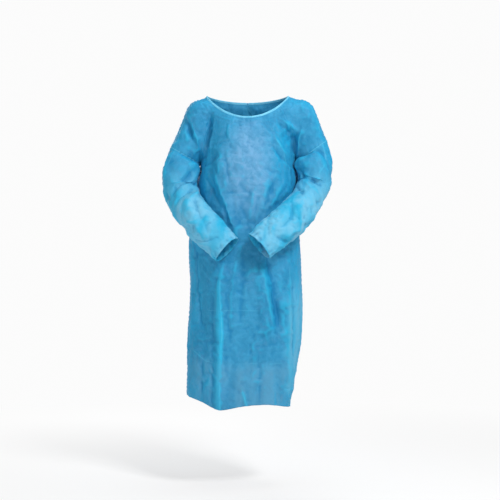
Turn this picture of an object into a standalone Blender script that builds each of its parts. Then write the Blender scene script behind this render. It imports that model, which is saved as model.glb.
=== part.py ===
"""Disposable isolation gown, in the form it takes when worn with the forearms crossed in front.

The gown is cut as one front, two backs that lap at the centre, and two long sleeves.
A bound neckline runs on into a tied bow, and a second pair of ties holds the waist.
The cloth stands on a general figure: a torso column, a shoulder bar and two upper arms,
blended into one distance function. Panels are settled onto it, and then folded.

Frame: metres, +Z up, the front faces -Y, the origin is midway between the shoulder tops.
Right and left are the wearer's, so the right sleeve is at -X.
"""

import math

import bpy
import numpy as np
from mathutils import Vector
from mathutils.bvhtree import BVHTree

# Driving sizes.
GOWN_LENGTH = 1.125          # shoulder top straight down to the lowest point of the hem
NECK_HALF_WIDTH = 0.148      # centre to the shoulder end of the neckline
NECK_DROP_FRONT = 0.084
NECK_DROP_BACK = 0.016
NECK_DEPTH_FRONT = 0.100
NECK_DEPTH_BACK = 0.086
UNDERARM_Z = -0.250
CLOTH = 0.0012               # wall of every panel
SEAM_GAP = 0.0005            # between the pieces that a seam joins
LIFT = 0.0004                # between a piece and what it lies on
BINDING_WIDTH = 0.008
BINDING_PLY = 0.0008
LAP = 0.040                  # each back runs this far past the centre
NECK_OPENING = 0.003         # each back stops this far short of the centre at the neck
LAP_RECESS = 0.0042          # the right back passes this far under the left one
FULL_LAP_Z = -0.190          # the lap grows from the neck down to here
FULL_RECESS_Z = -0.042
TIE_WIDTH = 0.014
TIE_THICK = 0.0016
TIE_LIFT = 0.0012            # between a tie and the cloth that it lies on
KNOT = (0.014, 0.009, 0.014)
WAIST_Z = -0.450
NECK_LOOP, NECK_TAIL = 0.050, 0.135
WAIST_LOOP, WAIST_TAIL = 0.062, 0.235

# Facets.
ARM_COLUMNS = 8              # from the underarm round the front, or the back, to the armhole's top
SKIRT_COLUMNS = 10           # from the centre to the side
YOKE_ROWS = 8                # from the neckline out to the armhole and down to the underarm
SKIRT_ROWS = 14
SLEEVE_ROWS = 16

FRONT, BACK = -1, 1
RIGHT, LEFT = -1, 1

# Torso column: how far the cloth reaches at each height, and how far back its widest place is.
TORSO = (
    # z,     right,  left,  front,  back,  widest
    (0.020, 0.070, 0.070, 0.040, 0.064, 0.000),
    (-0.040, 0.112, 0.112, 0.076, 0.086, 0.000),
    (-0.090, 0.138, 0.138, 0.106, 0.102, 0.002),
    (-0.160, 0.158, 0.158, 0.132, 0.114, 0.008),
    (-0.250, 0.173, 0.174, 0.142, 0.118, 0.028),
    (-0.280, 0.175, 0.175, 0.141, 0.117, 0.032),
    (-0.325, 0.182, 0.181, 0.139, 0.115, 0.042),
    (-0.360, 0.184, 0.182, 0.136, 0.114, 0.042),
    (-0.440, 0.197, 0.186, 0.130, 0.114, 0.032),
    (-0.520, 0.213, 0.190, 0.134, 0.120, 0.020),
    (-0.600, 0.214, 0.195, 0.143, 0.130, 0.010),
    (-0.700, 0.209, 0.198, 0.147, 0.138, 0.004),
    (-0.820, 0.213, 0.199, 0.149, 0.142, 0.000),
    (-0.900, 0.218, 0.194, 0.150, 0.142, 0.000),
    (-1.000, 0.219, 0.176, 0.151, 0.140, 0.000),
    (-1.060, 0.221, 0.160, 0.152, 0.138, 0.000),
    (-1.160, 0.222, 0.154, 0.153, 0.136, 0.000),
)
TORSO_POWER = 2.25           # 2 is an ellipse, more is squarer

# Round bars of the general figure: shoulders and upper arms, for the side at +X.
SHOULDER_BAR = {
    RIGHT: dict(start=(0.070, 0.0, -0.040), end=(0.178, 0.0, -0.066), radii=(0.036, 0.046)),
    LEFT: dict(start=(0.070, 0.0, -0.038), end=(0.193, 0.0, -0.070), radii=(0.036, 0.055)),
}
UPPER_ARM = {
    RIGHT: dict(start=(0.178, 0.0, -0.066), end=(0.226, 0.0, -0.215), radii=(0.046, 0.056)),
    LEFT: dict(start=(0.193, 0.0, -0.070), end=(0.241, 0.0, -0.195), radii=(0.055, 0.054)),
}
BAR_DEPTH = 0.80             # below 1 makes the bars deeper than wide
BLEND = 0.060                # how widely the hollow between two forms is filled

# Sleeve seam: outermost point of the armhole on each arm.
ARMHOLE_TOP = {RIGHT: (-0.281, 0.0, -0.188), LEFT: (0.289, 0.0, -0.163)}
ARMHOLE_DEPTH = 0.066        # half the armhole's size from front to back
UNDERARM_ROOM = 0.006        # between the sleeve's inner side and the torso, below the underarm
SLEEVE_CLEARANCE = 0.008     # the forearms press the front in, and stay this far off it

# Sleeve sections down each arm after the armhole: the middle, then half sizes across and in depth.
SLEEVE = {
    RIGHT: (
        # x,      y,      z,     across, depth
        (-0.243, -0.022, -0.275, 0.064, 0.060),
        (-0.243, -0.030, -0.340, 0.064, 0.058),
        (-0.220, -0.076, -0.396, 0.062, 0.056),
        (-0.180, -0.132, -0.448, 0.062, 0.053),
        (-0.130, -0.169, -0.502, 0.062, 0.048),
        (-0.088, -0.184, -0.542, 0.056, 0.043),
        (-0.070, -0.191, -0.559, 0.055, 0.042),
    ),
    LEFT: (
        (0.243, -0.022, -0.262, 0.064, 0.060),
        (0.238, -0.030, -0.325, 0.061, 0.058),
        (0.213, -0.076, -0.380, 0.057, 0.056),
        (0.172, -0.132, -0.434, 0.062, 0.053),
        (0.120, -0.168, -0.482, 0.063, 0.048),
        (0.064, -0.188, -0.528, 0.058, 0.043),
        (0.041, -0.196, -0.548, 0.056, 0.042),
    ),
}

# Hem: height at the front and at the back, across the gown.
HEM = (
    # x,     front,  back
    (-0.222, -1.087, -1.087),
    (-0.170, -1.100, -1.098),
    (-0.106, -1.125, -1.108),
    (0.000, -1.112, -1.112),
    (0.060, -1.109, -1.112),
    (0.110, -1.116, -1.114),
    (0.154, -1.128, -1.128),
)

# Largest folds of the front and of the back: rise above the cloth, half width, and path (x, z).
FRONT_FOLDS = (
    # rise,   width, path
    (0.015, 0.030, ((-0.085, -0.600), (-0.098, -0.840), (-0.104, -1.160))),
    (-0.012, 0.030, ((-0.172, -0.520), (-0.172, -0.720), (-0.160, -0.880))),
    (-0.012, 0.030, ((0.064, -0.560), (0.100, -0.700), (0.122, -0.860))),
    (0.012, 0.030, ((0.020, -0.580), (0.060, -0.760), (0.082, -0.900))),
    (0.012, 0.028, ((0.142, -0.700), (0.138, -0.900), (0.146, -1.120))),
    (0.012, 0.032, ((-0.100, -0.180), (-0.064, -0.350), (-0.034, -0.540))),
    (0.012, 0.032, ((0.085, -0.280), (0.052, -0.400), (0.028, -0.540))),
    (-0.010, 0.028, ((-0.030, -0.300), (-0.004, -0.520))),
    (-0.012, 0.022, ((-0.212, -0.080), (-0.196, -0.165), (-0.176, -0.205))),
    (0.009, 0.020, ((-0.190, -0.130), (-0.172, -0.230))),
    (-0.009, 0.022, ((-0.128, -0.070), (-0.158, -0.190), (-0.166, -0.240))),
    (0.009, 0.022, ((0.120, -0.100), (0.178, -0.150))),
    (-0.010, 0.020, ((0.134, -0.130), (0.166, -0.170))),
)
BACK_FOLDS = (
    (0.012, 0.030, ((-0.120, -0.480), (-0.135, -0.760), (-0.140, -1.150))),
    (-0.010, 0.026, ((-0.070, -0.470), (-0.085, -0.700), (-0.090, -1.000))),
    (0.012, 0.030, ((0.105, -0.480), (0.112, -0.720), (0.120, -1.150))),
    (-0.010, 0.026, ((0.150, -0.500), (0.155, -0.760), (0.150, -0.980))),
    (-0.009, 0.024, ((-0.130, -0.200), (-0.095, -0.330), (-0.085, -0.430))),
    (-0.009, 0.024, ((0.125, -0.220), (0.100, -0.330), (0.090, -0.430))),
)

# Largest folds of each sleeve: rise, half width, and path (down the sleeve, round it from the
# outside by way of the front), both in metres.
SLEEVE_FOLDS = {
    RIGHT: (
        (-0.012, 0.016, ((0.055, 0.180), (0.115, 0.120), (0.150, 0.085))),
        (0.008, 0.018, ((0.085, 0.060), (0.140, 0.095), (0.180, 0.150))),
        (-0.009, 0.014, ((0.150, 0.020), (0.185, 0.045))),
        (-0.010, 0.016, ((0.270, -0.010), (0.330, 0.040))),
        (0.009, 0.018, ((0.230, 0.110), (0.330, 0.090))),
        (-0.009, 0.014, ((0.110, 0.190), (0.165, 0.160))),
    ),
    LEFT: (
        (-0.012, 0.016, ((0.060, 0.180), (0.115, 0.130), (0.140, 0.080))),
        (0.008, 0.018, ((0.080, 0.070), (0.130, 0.100), (0.180, 0.150))),
        (-0.009, 0.014, ((0.280, 0.000), (0.340, 0.050))),
        (-0.009, 0.015, ((0.200, 0.020), (0.240, 0.060))),
        (0.009, 0.018, ((0.220, 0.120), (0.330, 0.100))),
        (-0.009, 0.014, ((0.100, 0.190), (0.160, 0.165))),
    ),
}

COLOURS = {
    "gown cloth": (0.075, 0.345, 0.590, 1.0),
    "binding": (0.240, 0.600, 0.760, 1.0),
}


# ---- Tables and small vector helpers -------------------------------------------------------


def column(table, index):
    """One named column of a table, as an array."""
    return np.array([row[index] for row in table], float)


def smooth_table(x, keys, values):
    """Values read from a table at x, on a smooth curve through its rows."""
    keys, values = np.asarray(keys, float), np.asarray(values, float)
    if keys[0] > keys[-1]:
        keys, values = keys[::-1], values[::-1]
    slopes = np.gradient(values, keys, axis=0)
    x = np.clip(x, keys[0], keys[-1])
    low = np.clip(np.searchsorted(keys, x) - 1, 0, len(keys) - 2)
    span = keys[low + 1] - keys[low]
    u = (x - keys[low]) / span
    extra = (1,) * (values.ndim - 1)
    u, span = u.reshape(u.shape + extra), span.reshape(span.shape + extra)
    rise, bump = u * u * (3 - 2 * u), u * (1 - u)
    return (
        values[low] * (1 - rise)
        + values[low + 1] * rise
        + span * bump * ((1 - u) * slopes[low] - u * slopes[low + 1])
    )


def smooth_step(x, low, high):
    u = np.clip((x - low) / (high - low), 0.0, 1.0)
    return u * u * (3 - 2 * u)


def unit(vectors):
    return vectors / np.maximum(np.linalg.norm(vectors, axis=-1, keepdims=True), 1e-12)


def fold_height(places, folds):
    """How far a table of folds lifts the cloth at each place. Folds die away at both ends."""
    height = np.zeros(places.shape[:-1])
    for rise, width, path in folds:
        path = np.array(path, float)
        legs = np.linalg.norm(np.diff(path, axis=0), axis=1)
        nearest = np.full(places.shape[:-1], np.inf)
        along = np.zeros(places.shape[:-1])
        for start, end, leg, before in zip(path, path[1:], legs, np.cumsum(legs) - legs):
            share = np.clip((places - start) @ (end - start) / leg**2, 0, 1)
            away = np.linalg.norm(places - start - share[..., None] * (end - start), axis=-1)
            along = np.where(away < nearest, before + share * leg, along)
            nearest = np.minimum(nearest, away)
        taper = min(0.06, legs.sum() / 2.5)
        to_end = legs.sum() - along
        ends = smooth_step(along, -0.25 * taper, taper) * smooth_step(to_end, -0.25 * taper, taper)
        height += rise * ends * np.exp(-((nearest / width) ** 2))
    return height


# ---- The general figure, as a distance function -------------------------------------------


def torso_reach(z):
    """Right, left, front and back reach of the torso column at height z, and its widest place."""
    heights = column(TORSO, 0)
    return [smooth_table(z, heights, column(TORSO, index)) for index in (1, 2, 3, 4, 5)]


def torso_distance(points):
    x, y, z = points[..., 0], points[..., 1], points[..., 2]
    right, left, front, back, widest = torso_reach(z)
    across = np.where(x < 0, right, left)
    depth = np.where(y < widest, front + widest, back - widest)
    power = TORSO_POWER
    scaled = (np.abs(x / across) ** power + np.abs((y - widest) / depth) ** power) ** (1 / power)
    return (scaled - 1.0) * np.minimum(across, depth)


def bar_distance(points, side, start, end, radii):
    """Distance to a tapered round bar that runs down one side."""
    local = points * np.array((side, BAR_DEPTH, 1.0))
    start, end = np.array(start) * (1, BAR_DEPTH, 1), np.array(end) * (1, BAR_DEPTH, 1)
    along = end - start
    share = np.clip((local - start) @ along / (along @ along), 0.0, 1.0)
    nearest = start + share[..., None] * along
    return np.linalg.norm(local - nearest, axis=-1) - (radii[0] * (1 - share) + radii[1] * share)


def smooth_min(a, b, radius):
    mix = np.clip(0.5 + 0.5 * (b - a) / radius, 0.0, 1.0)
    return b * (1 - mix) + a * mix - radius * mix * (1 - mix)


def figure_distance(points):
    """How far points stand off the cloth's resting form."""
    found = torso_distance(points)
    for side in (RIGHT, LEFT):
        shoulder = bar_distance(points, side, **SHOULDER_BAR[side])
        arm = bar_distance(points, side, **UPPER_ARM[side])
        found = smooth_min(found, np.minimum(shoulder, arm), BLEND)
    return found


def figure_slope(points):
    step = 1e-4
    ahead = [figure_distance(points + step * axis) for axis in np.eye(3)]
    behind_it = [figure_distance(points - step * axis) for axis in np.eye(3)]
    rises = [a - b for a, b in zip(ahead, behind_it)]
    return np.stack(rises, axis=-1) / (2 * step)


def settle(points, grip=1.0, passes=6):
    """Points moved onto the figure's form, straight towards it."""
    for _ in range(passes):
        slope = figure_slope(points)
        size = np.maximum((slope**2).sum(-1, keepdims=True), 0.25)
        points = points - grip * figure_distance(points)[..., None] * slope / size
    return points


# ---- Panel outlines ------------------------------------------------------------------------


def neckline(share, face, side):
    """From the centre of the neck (share 0) to its shoulder end (share 1)."""
    drop, depth = (NECK_DROP_FRONT, NECK_DEPTH_FRONT) if face == FRONT else (NECK_DROP_BACK, NECK_DEPTH_BACK)
    across, rest = np.sin(share * math.pi / 2), np.cos(share * math.pi / 2) ** 2
    return np.stack([side * NECK_HALF_WIDTH * across, face * depth * rest**0.62, -drop * rest**0.85], axis=-1)


def underarm(side):
    right, left, _, _, widest = torso_reach(np.array(UNDERARM_Z))
    return np.array((-right if side == RIGHT else left, widest, UNDERARM_Z), float)


def armhole(share, face, side):
    """From the underarm (share 0) round the front or the back of the arm to the top (share 1)."""
    top, under = np.array(ARMHOLE_TOP[side]), underarm(side)
    turn = (1 - share)[:, None] * math.pi
    outward = np.array((0.0, face * ARMHOLE_DEPTH, 0.0))
    return (top + under) / 2 + (top - under) / 2 * np.cos(turn) + outward * np.sin(turn)


def shoulder_seam(share, side):
    """From the neckline (share 0) over the shoulder to the armhole's top (share 1)."""
    start, end = neckline(np.array((1.0,)), FRONT, side)[0], np.array(ARMHOLE_TOP[side])
    arched = start + share[:, None] * (end - start)
    arched = arched + np.sin(share * math.pi)[:, None] * np.array((side * 0.025, 0.0, 0.055))
    settled = settle(arched)
    off_start, off_end = start - settled[0], end - settled[-1]
    near_start, near_end = np.exp(-share / 0.15), np.exp(-(1 - share) / 0.15)
    settled = settled + near_start[:, None] * off_start + near_end[:, None] * off_end
    settled[0], settled[-1] = start, end
    return settled * (1, 0, 1)


def torso_ring(share, face, side, z):
    """A quarter of the torso column, from its centre (share 0) to its side (share 1), evenly spaced."""
    fine = np.linspace(0, math.pi / 2, 61)
    right, left, front, back, widest = torso_reach(np.array(z, float))
    across = right if side == RIGHT else left
    depth = front + widest if face == FRONT else back - widest
    x = across * np.sin(fine) ** (2 / TORSO_POWER)
    y = depth * np.cos(fine) ** (2 / TORSO_POWER)
    run = np.concatenate([[0], np.cumsum(np.hypot(np.diff(x), np.diff(y)))])
    at = share * run[-1]
    y = widest + face * np.interp(at, run, y)
    return np.stack([side * np.interp(at, run, x), y, np.full_like(share, z)], axis=-1)


def centre_line(share, face):
    """Down the middle of the yoke, from the neckline (share 0) to underarm height (share 1)."""
    top = neckline(np.array((0.0,)), face, RIGHT)[0]
    bottom = torso_ring(np.array((0.0,)), face, RIGHT, UNDERARM_Z)[0]
    settled = settle(top + share[:, None] * (bottom - top))
    return settled + (1 - share)[:, None] ** 2 * (top - settled[0])


# ---- Panels --------------------------------------------------------------------------------


def yoke(face, side, skirt_columns, arm_columns, rows):
    """From the neckline out to underarm height and the armhole, as rows of columns.

    Columns run from the centre to the shoulder seam. The first of them end at underarm
    height, and the others at the armhole.
    """
    columns = skirt_columns + arm_columns
    u, t = np.linspace(0, 1, columns + 1), np.linspace(0, 1, rows + 1)
    top = neckline(u, face, side)
    low = torso_ring(np.linspace(0, 1, skirt_columns + 1), face, side, UNDERARM_Z)
    bottom = np.concatenate([low, armhole(np.linspace(0, 1, arm_columns + 1)[1:], face, side)])
    inner, outer = centre_line(t, face), shoulder_seam(t, side)
    s, t = u[None, :, None], t[:, None, None]
    corners = (1 - t) * ((1 - s) * top[0] + s * top[-1]) + t * ((1 - s) * bottom[0] + s * bottom[-1])
    grid = (1 - t) * top + t * bottom + (1 - s) * inner[:, None] + s * outer[:, None] - corners
    grid[:, 0], grid[:, -1], grid[0], grid[-1] = inner, outer, top, bottom
    inside = grid[1:-1, 1:-1]
    hold = 0.5 * smooth_step(1 - t[1:-1], 0.0, 0.35)
    for _ in range(2 * rows):
        inside += 0.5 * ((grid[:-2, 1:-1] + grid[2:, 1:-1] + grid[1:-1, :-2] + grid[1:-1, 2:]) / 4 - inside)
        inside += hold * (settle(inside.copy(), passes=1) - inside)
    edge = grid[0] + unit(grid[1] - grid[0]) * BINDING_WIDTH
    return np.insert(grid, 1, edge, axis=0)


def hem_height(x, face):
    return smooth_table(x, column(HEM, 0), column(HEM, 1 if face == FRONT else 2))


def skirt(face, side, columns, rows):
    """From underarm height down to the hem, with closer rows under the arm."""
    shares, found = np.linspace(0, 1, columns + 1), []
    for share in np.linspace(0, 1, rows + 1) ** 1.3:
        ring = torso_ring(shares, face, side, UNDERARM_Z - share * (GOWN_LENGTH + UNDERARM_Z))
        ring[:, 2] = UNDERARM_Z + share * (hem_height(ring[:, 0], face) - UNDERARM_Z)
        found.append(ring)
    return np.stack(found)


def whole_face(face):
    """The yoke and the skirt of one face, each from the right side across to the left."""
    yokes = [yoke(face, side, SKIRT_COLUMNS, ARM_COLUMNS, YOKE_ROWS) for side in (RIGHT, LEFT)]
    skirts = [skirt(face, side, SKIRT_COLUMNS, SKIRT_ROWS) for side in (RIGHT, LEFT)]
    return [np.concatenate([halves[0][:, :0:-1], halves[1]], axis=1) for halves in (yokes, skirts)]


def lapped(grid, side):
    """One back panel out of the whole back, run past the centre and under or over the other."""
    middle = grid.shape[1] // 2
    if side == RIGHT:
        grid = grid[:, ::-1] * (-1, 1, 1)
    down = -grid[:, middle, 2]
    reach = (LAP + NECK_OPENING) * smooth_step(down, NECK_DROP_BACK, -FULL_LAP_Z) - NECK_OPENING
    moved = 3
    panel = grid[:, middle:].copy()
    for row, points in enumerate(grid):
        near = slice(middle - moved - 2, middle + moved + 1)
        places = np.linspace(-reach[row], points[middle + moved, 0], moved + 1)
        for axis in range(3):
            panel[row, : moved + 1, axis] = np.interp(places, points[near, 0], points[near, axis])
    if side == RIGHT:
        under = LAP_RECESS * smooth_step(down, NECK_DROP_BACK, -FULL_RECESS_Z)[:, None]
        panel[..., 1] -= under * (1 - smooth_step(panel[..., 0], LAP + 0.004, LAP + 0.034))
        panel = panel * (-1, 1, 1)
        return panel[:, ::-1]
    return panel


# ---- Sleeves -------------------------------------------------------------------------------


def sleeve(side, columns, rows):
    """A tube from the armhole to the cuff, as rings. Columns start outside and go by the front."""
    turn = np.linspace(0, 2 * math.pi, columns + 1)[:-1]
    top, under = np.array(ARMHOLE_TOP[side]), underarm(side)
    start = np.append((top + under) / 2, (np.linalg.norm(top - under) / 2, ARMHOLE_DEPTH))
    table = np.vstack([start, SLEEVE[side]])
    legs = np.linalg.norm(np.diff(table[:, :3], axis=0), axis=1)
    run = np.concatenate([[0], np.cumsum(legs)])
    along = np.linspace(0, run[-1], rows + 1)
    sections = smooth_table(along, run, table)
    middles, across, depth = sections[:, :3], sections[:, 3], sections[:, 4]
    heading = unit(np.gradient(middles, along, axis=0))
    outward = side * unit(np.cross(heading, np.array((0.0, 1.0, 0.0))))
    forward = np.cross(heading, side * outward)
    rings = (
        middles[:, None]
        + outward[:, None] * (across[:, None] * np.cos(turn))[..., None]
        + forward[:, None] * (depth[:, None] * np.sin(turn))[..., None]
    )
    half = np.abs(np.arange(columns) * 2 / columns - 1)
    seam = np.where(
        (turn < math.pi)[:, None], armhole(half, FRONT, side), armhole(half, BACK, side)
    )
    ease = 1 - smooth_step(along, 0.0, 0.060)
    rings = rings + ease[:, None, None] * (seam - rings[0])
    room = UNDERARM_ROOM * smooth_step(along, 0.0, 0.03) * (1 - smooth_step(along, 0.08, 0.14))
    rings[..., 0] += side * np.maximum(room[:, None] - torso_distance(rings), 0) * (room > 0)[:, None]
    distance = along[:, None] + 0 * turn
    round_the_arm = turn[None] * across[:, None]
    last_quarter = turn[None] > 1.5 * math.pi
    wrapped = np.where(last_quarter, round_the_arm - 2 * math.pi * across[:, None], round_the_arm)
    rise = fold_height(np.stack([distance, wrapped], axis=-1), SLEEVE_FOLDS[side])
    rise = rise * smooth_step(along, 0.01, 0.05)[:, None] * smooth_step(run[-1] - along, 0.0, 0.05)[:, None]
    rings = rings + rise[..., None] * unit(rings - middles[:, None])
    return rings if side == RIGHT else rings[:, ::-1]


# ---- Making closed bodies ------------------------------------------------------------------


class Surface:
    """Grids of quads made one surface, with the points that they share counted once."""

    def __init__(self, *grids, around=False):
        points, faces, start = [], [], 0
        for grid in grids:
            rows, columns = grid.shape[:2]
            r, c = np.meshgrid(np.arange(rows - 1), np.arange(columns - (not around)), indexing="ij")
            after = (c + 1) % columns
            above, below = r * columns, (r + 1) * columns
            corners = np.stack([above + c, below + c, below + after, above + after])
            faces.append(start + corners.reshape(4, -1).T)
            points.append(grid.reshape(-1, 3))
            start += rows * columns
        points = np.concatenate(points)
        _, first, place = np.unique(np.round(points, 6), axis=0, return_index=True, return_inverse=True)
        place = place.reshape(-1)
        self.points, self.faces = points[first], place[np.concatenate(faces)]
        self.top = place[: 2 * grids[0].shape[1]].reshape(2, -1)
        self.normals = None

    def keys(self):
        return [tuple(key) for key in np.round(self.points, 6)]

    def own_normals(self):
        a, b, c, d = (self.points[self.faces[:, i]] for i in range(4))
        push, found = np.cross(c - a, d - b), np.zeros_like(self.points)
        for i in range(4):
            np.add.at(found, self.faces[:, i], push)
        return found

    def open_edges(self):
        sides = np.concatenate([self.faces[:, (i, (i + 1) % 4)] for i in range(4)])
        used = {tuple(side) for side in sides.tolist()}
        return [side for side in used if side[::-1] not in used]

    def drawn_in(self, by):
        """The points, with open edges moved in to leave room at the seams, more at a sharp fold."""
        push, count = np.zeros_like(self.points), np.zeros(len(self.points))
        for a, b in self.open_edges():
            inward = unit(np.cross(self.normals[a] + self.normals[b], self.points[b] - self.points[a]))
            for i in (a, b):
                push[i] += inward
                count[i] += 1
        size = (push**2).sum(-1)
        lean = np.clip((unit(self.own_normals()) * self.normals).sum(-1), 0.3, 1.0)
        return self.points + by * push * (count / np.maximum(size, 0.4) / lean)[:, None]


def share_normals(surfaces):
    """Normals averaged where surfaces meet, so that their walls stay parallel at a seam.

    The body and the sleeve count alike at the armhole, whatever the size of their facets.
    """
    total = {}
    for of_sleeves in (False, True):
        sums = {}
        for name, surface in surfaces.items():
            if name.startswith("sleeve") == of_sleeves:
                for key, normal in zip(surface.keys(), surface.own_normals()):
                    sums[key] = sums.get(key, 0) + normal
        for key, normal in sums.items():
            total[key] = total.get(key, 0) + unit(normal)
    for surface in surfaces.values():
        surface.normals = unit(np.array([total[key] for key in surface.keys()]))


def seam_points(surfaces):
    """Every point that two or more surfaces share."""
    seen = {}
    for surface in surfaces.values():
        for key in surface.keys():
            seen[key] = seen.get(key, 0) + 1
    return np.array([key for key, count in seen.items() if count > 1])


def fold(surface, folds, held):
    """The cloth raised and sunk along its table of folds, which fade towards the held points."""
    away = np.linalg.norm(surface.points[:, None] - held[None], axis=-1).min(axis=1)
    rise = fold_height(surface.points[:, (0, 2)], folds) * smooth_step(away, 0.0, 0.05)
    surface.points = surface.points + rise[:, None] * surface.normals


def press_in(surface, sleeves, held):
    """The cloth pushed in wherever a sleeve lies on it. Near the seams the two may close up."""
    away = np.linalg.norm(surface.points[:, None] - held[None], axis=-1).min(axis=1)
    room = SLEEVE_CLEARANCE * smooth_step(away, 0.0, 0.03)
    for tree in sleeves:
        for _ in range(8):
            for i, point in enumerate(surface.points):
                spot, outward, _, _ = tree.find_nearest(Vector(point), 0.09)
                if spot is None or away[i] < 1e-5 or point[2] > UNDERARM_Z + 0.005:
                    continue
                off = float((Vector(point) - spot).dot(outward))
                if off < room[i]:
                    surface.points[i] -= surface.normals[i] * min(room[i] - off, 0.004)


def clear_scene():
    for item in list(bpy.data.objects):
        bpy.data.objects.remove(item)


def add_body(name, points, faces, colour):
    """A closed body, turned so that its faces point outwards."""
    points = np.asarray(points, float)
    fans = [(face[0], face[i], face[i + 1]) for face in faces for i in range(1, len(face) - 1)]
    a, b, c = (points[[fan[i] for fan in fans]] for i in range(3))
    if (a * np.cross(b, c)).sum() < 0:
        faces = [face[::-1] for face in faces]
    mesh = bpy.data.meshes.new(name)
    mesh.from_pydata(points.tolist(), [], faces)
    if colour not in bpy.data.materials:
        material = bpy.data.materials.new(colour)
        material.use_nodes = True
        shader = material.node_tree.nodes["Principled BSDF"]
        shader.inputs["Base Color"].default_value = COLOURS[colour]
        shader.inputs["Roughness"].default_value = 0.75
    mesh.materials.append(bpy.data.materials[colour])
    bpy.context.scene.collection.objects.link(bpy.data.objects.new(name, mesh))


def add_shell(name, surface):
    """A wall of cloth: the surface, its inner side, and the rims between them."""
    outer = surface.drawn_in(SEAM_GAP / 2)
    inner = outer - surface.normals * CLOTH
    count = len(outer)
    faces = [part for a, b, c, d in surface.faces.tolist() for part in ((a, b, c), (a, c, d))]
    faces += [tuple(count + i for i in face[::-1]) for face in faces]
    faces += [(b, a, count + a, count + b) for a, b in surface.open_edges()]
    add_body(name, np.concatenate([outer, inner]), faces, "gown cloth")


def add_swept(name, sections, colour, crossed=()):
    """A body swept through sections that list the same corners in turn.

    Each side is a strip of triangles. crossed names the sides that are cut on the other diagonal.
    """
    count, corners = len(sections), len(sections[0])
    faces = []
    for i in range(count - 1):
        for j in range(corners):
            a, b = i * corners + j, i * corners + (j + 1) % corners
            if j in crossed:
                faces += [(a, b, a + corners), (b, b + corners, a + corners)]
            else:
                faces += [(a, b, b + corners), (a, b + corners, a + corners)]
    faces.append(tuple(range(corners))[::-1])
    faces.append(tuple((count - 1) * corners + j for j in range(corners)))
    add_body(name, np.concatenate(sections), faces, colour)


# ---- Binding and ties ----------------------------------------------------------------------


def add_binding(stations):
    """A folded strip over the raw neck edge. Each station is an edge point and one below it, with normals."""
    sections = []
    for edge, below, edge_normal, below_normal in stations:
        up = unit(edge - below) * LIFT
        over = unit(edge - below) * (LIFT + BINDING_PLY)
        near, far = LIFT, LIFT + BINDING_PLY
        sections.append(
            np.array(
                [
                    below + below_normal * far,
                    edge + over + edge_normal * far,
                    edge + over - edge_normal * (CLOTH + far),
                    below - below_normal * (CLOTH + far),
                    below - below_normal * (CLOTH + near),
                    edge + up - edge_normal * (CLOTH + near),
                    edge + up + edge_normal * near,
                    below + below_normal * near,
                ]
            )
        )
    add_swept("neck_binding", sections, "binding", crossed=(0, 4))


def ribbon(name, path, flat, colour="gown cloth", width=TIE_WIDTH):
    """A flat tie along a path. flat is the direction across its width at each point."""
    path = np.asarray(path, float)
    heading = unit(np.gradient(path, axis=0))
    flat = unit(flat - (flat * heading).sum(-1, keepdims=True) * heading) * width / 2
    thick = unit(np.cross(heading, flat)) * TIE_THICK / 2
    sections = [
        np.array([p + f + t, p - f + t, p - f - t, p + f - t]) for p, f, t in zip(path, flat, thick)
    ]
    add_swept(name, sections, colour)


def laid_on(tree, starts, towards, lift):
    """Where straight lines meet the cloth, stopped short of it by lift."""
    found = []
    for start, way in zip(starts, np.broadcast_to(towards, starts.shape)):
        hit = tree.ray_cast(Vector(start), Vector(way))[0]
        found.append(np.array(hit) - way * lift)
    return np.array(found)


def behind(tree, x, z, lift):
    """Points behind the back at x and z, off its outer face by lift across a tie's width."""
    x, z = np.broadcast_arrays(np.asarray(x, float), np.asarray(z, float))
    depths = []
    for aside in np.linspace(-0.6, 0.6, 7) * TIE_WIDTH:
        near = np.abs(x + aside) < 2 * NECK_OPENING
        for side in (RIGHT, LEFT):
            cast = np.where(near, side * 2 * NECK_OPENING, x + aside)
            starts = np.stack([cast, np.full(x.size, 0.4), z], axis=-1)
            depths.append(laid_on(tree, starts, np.array((0.0, -1.0, 0.0)), lift)[:, 1])
    return np.stack([x, np.max(depths, axis=0), z], axis=-1)


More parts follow.
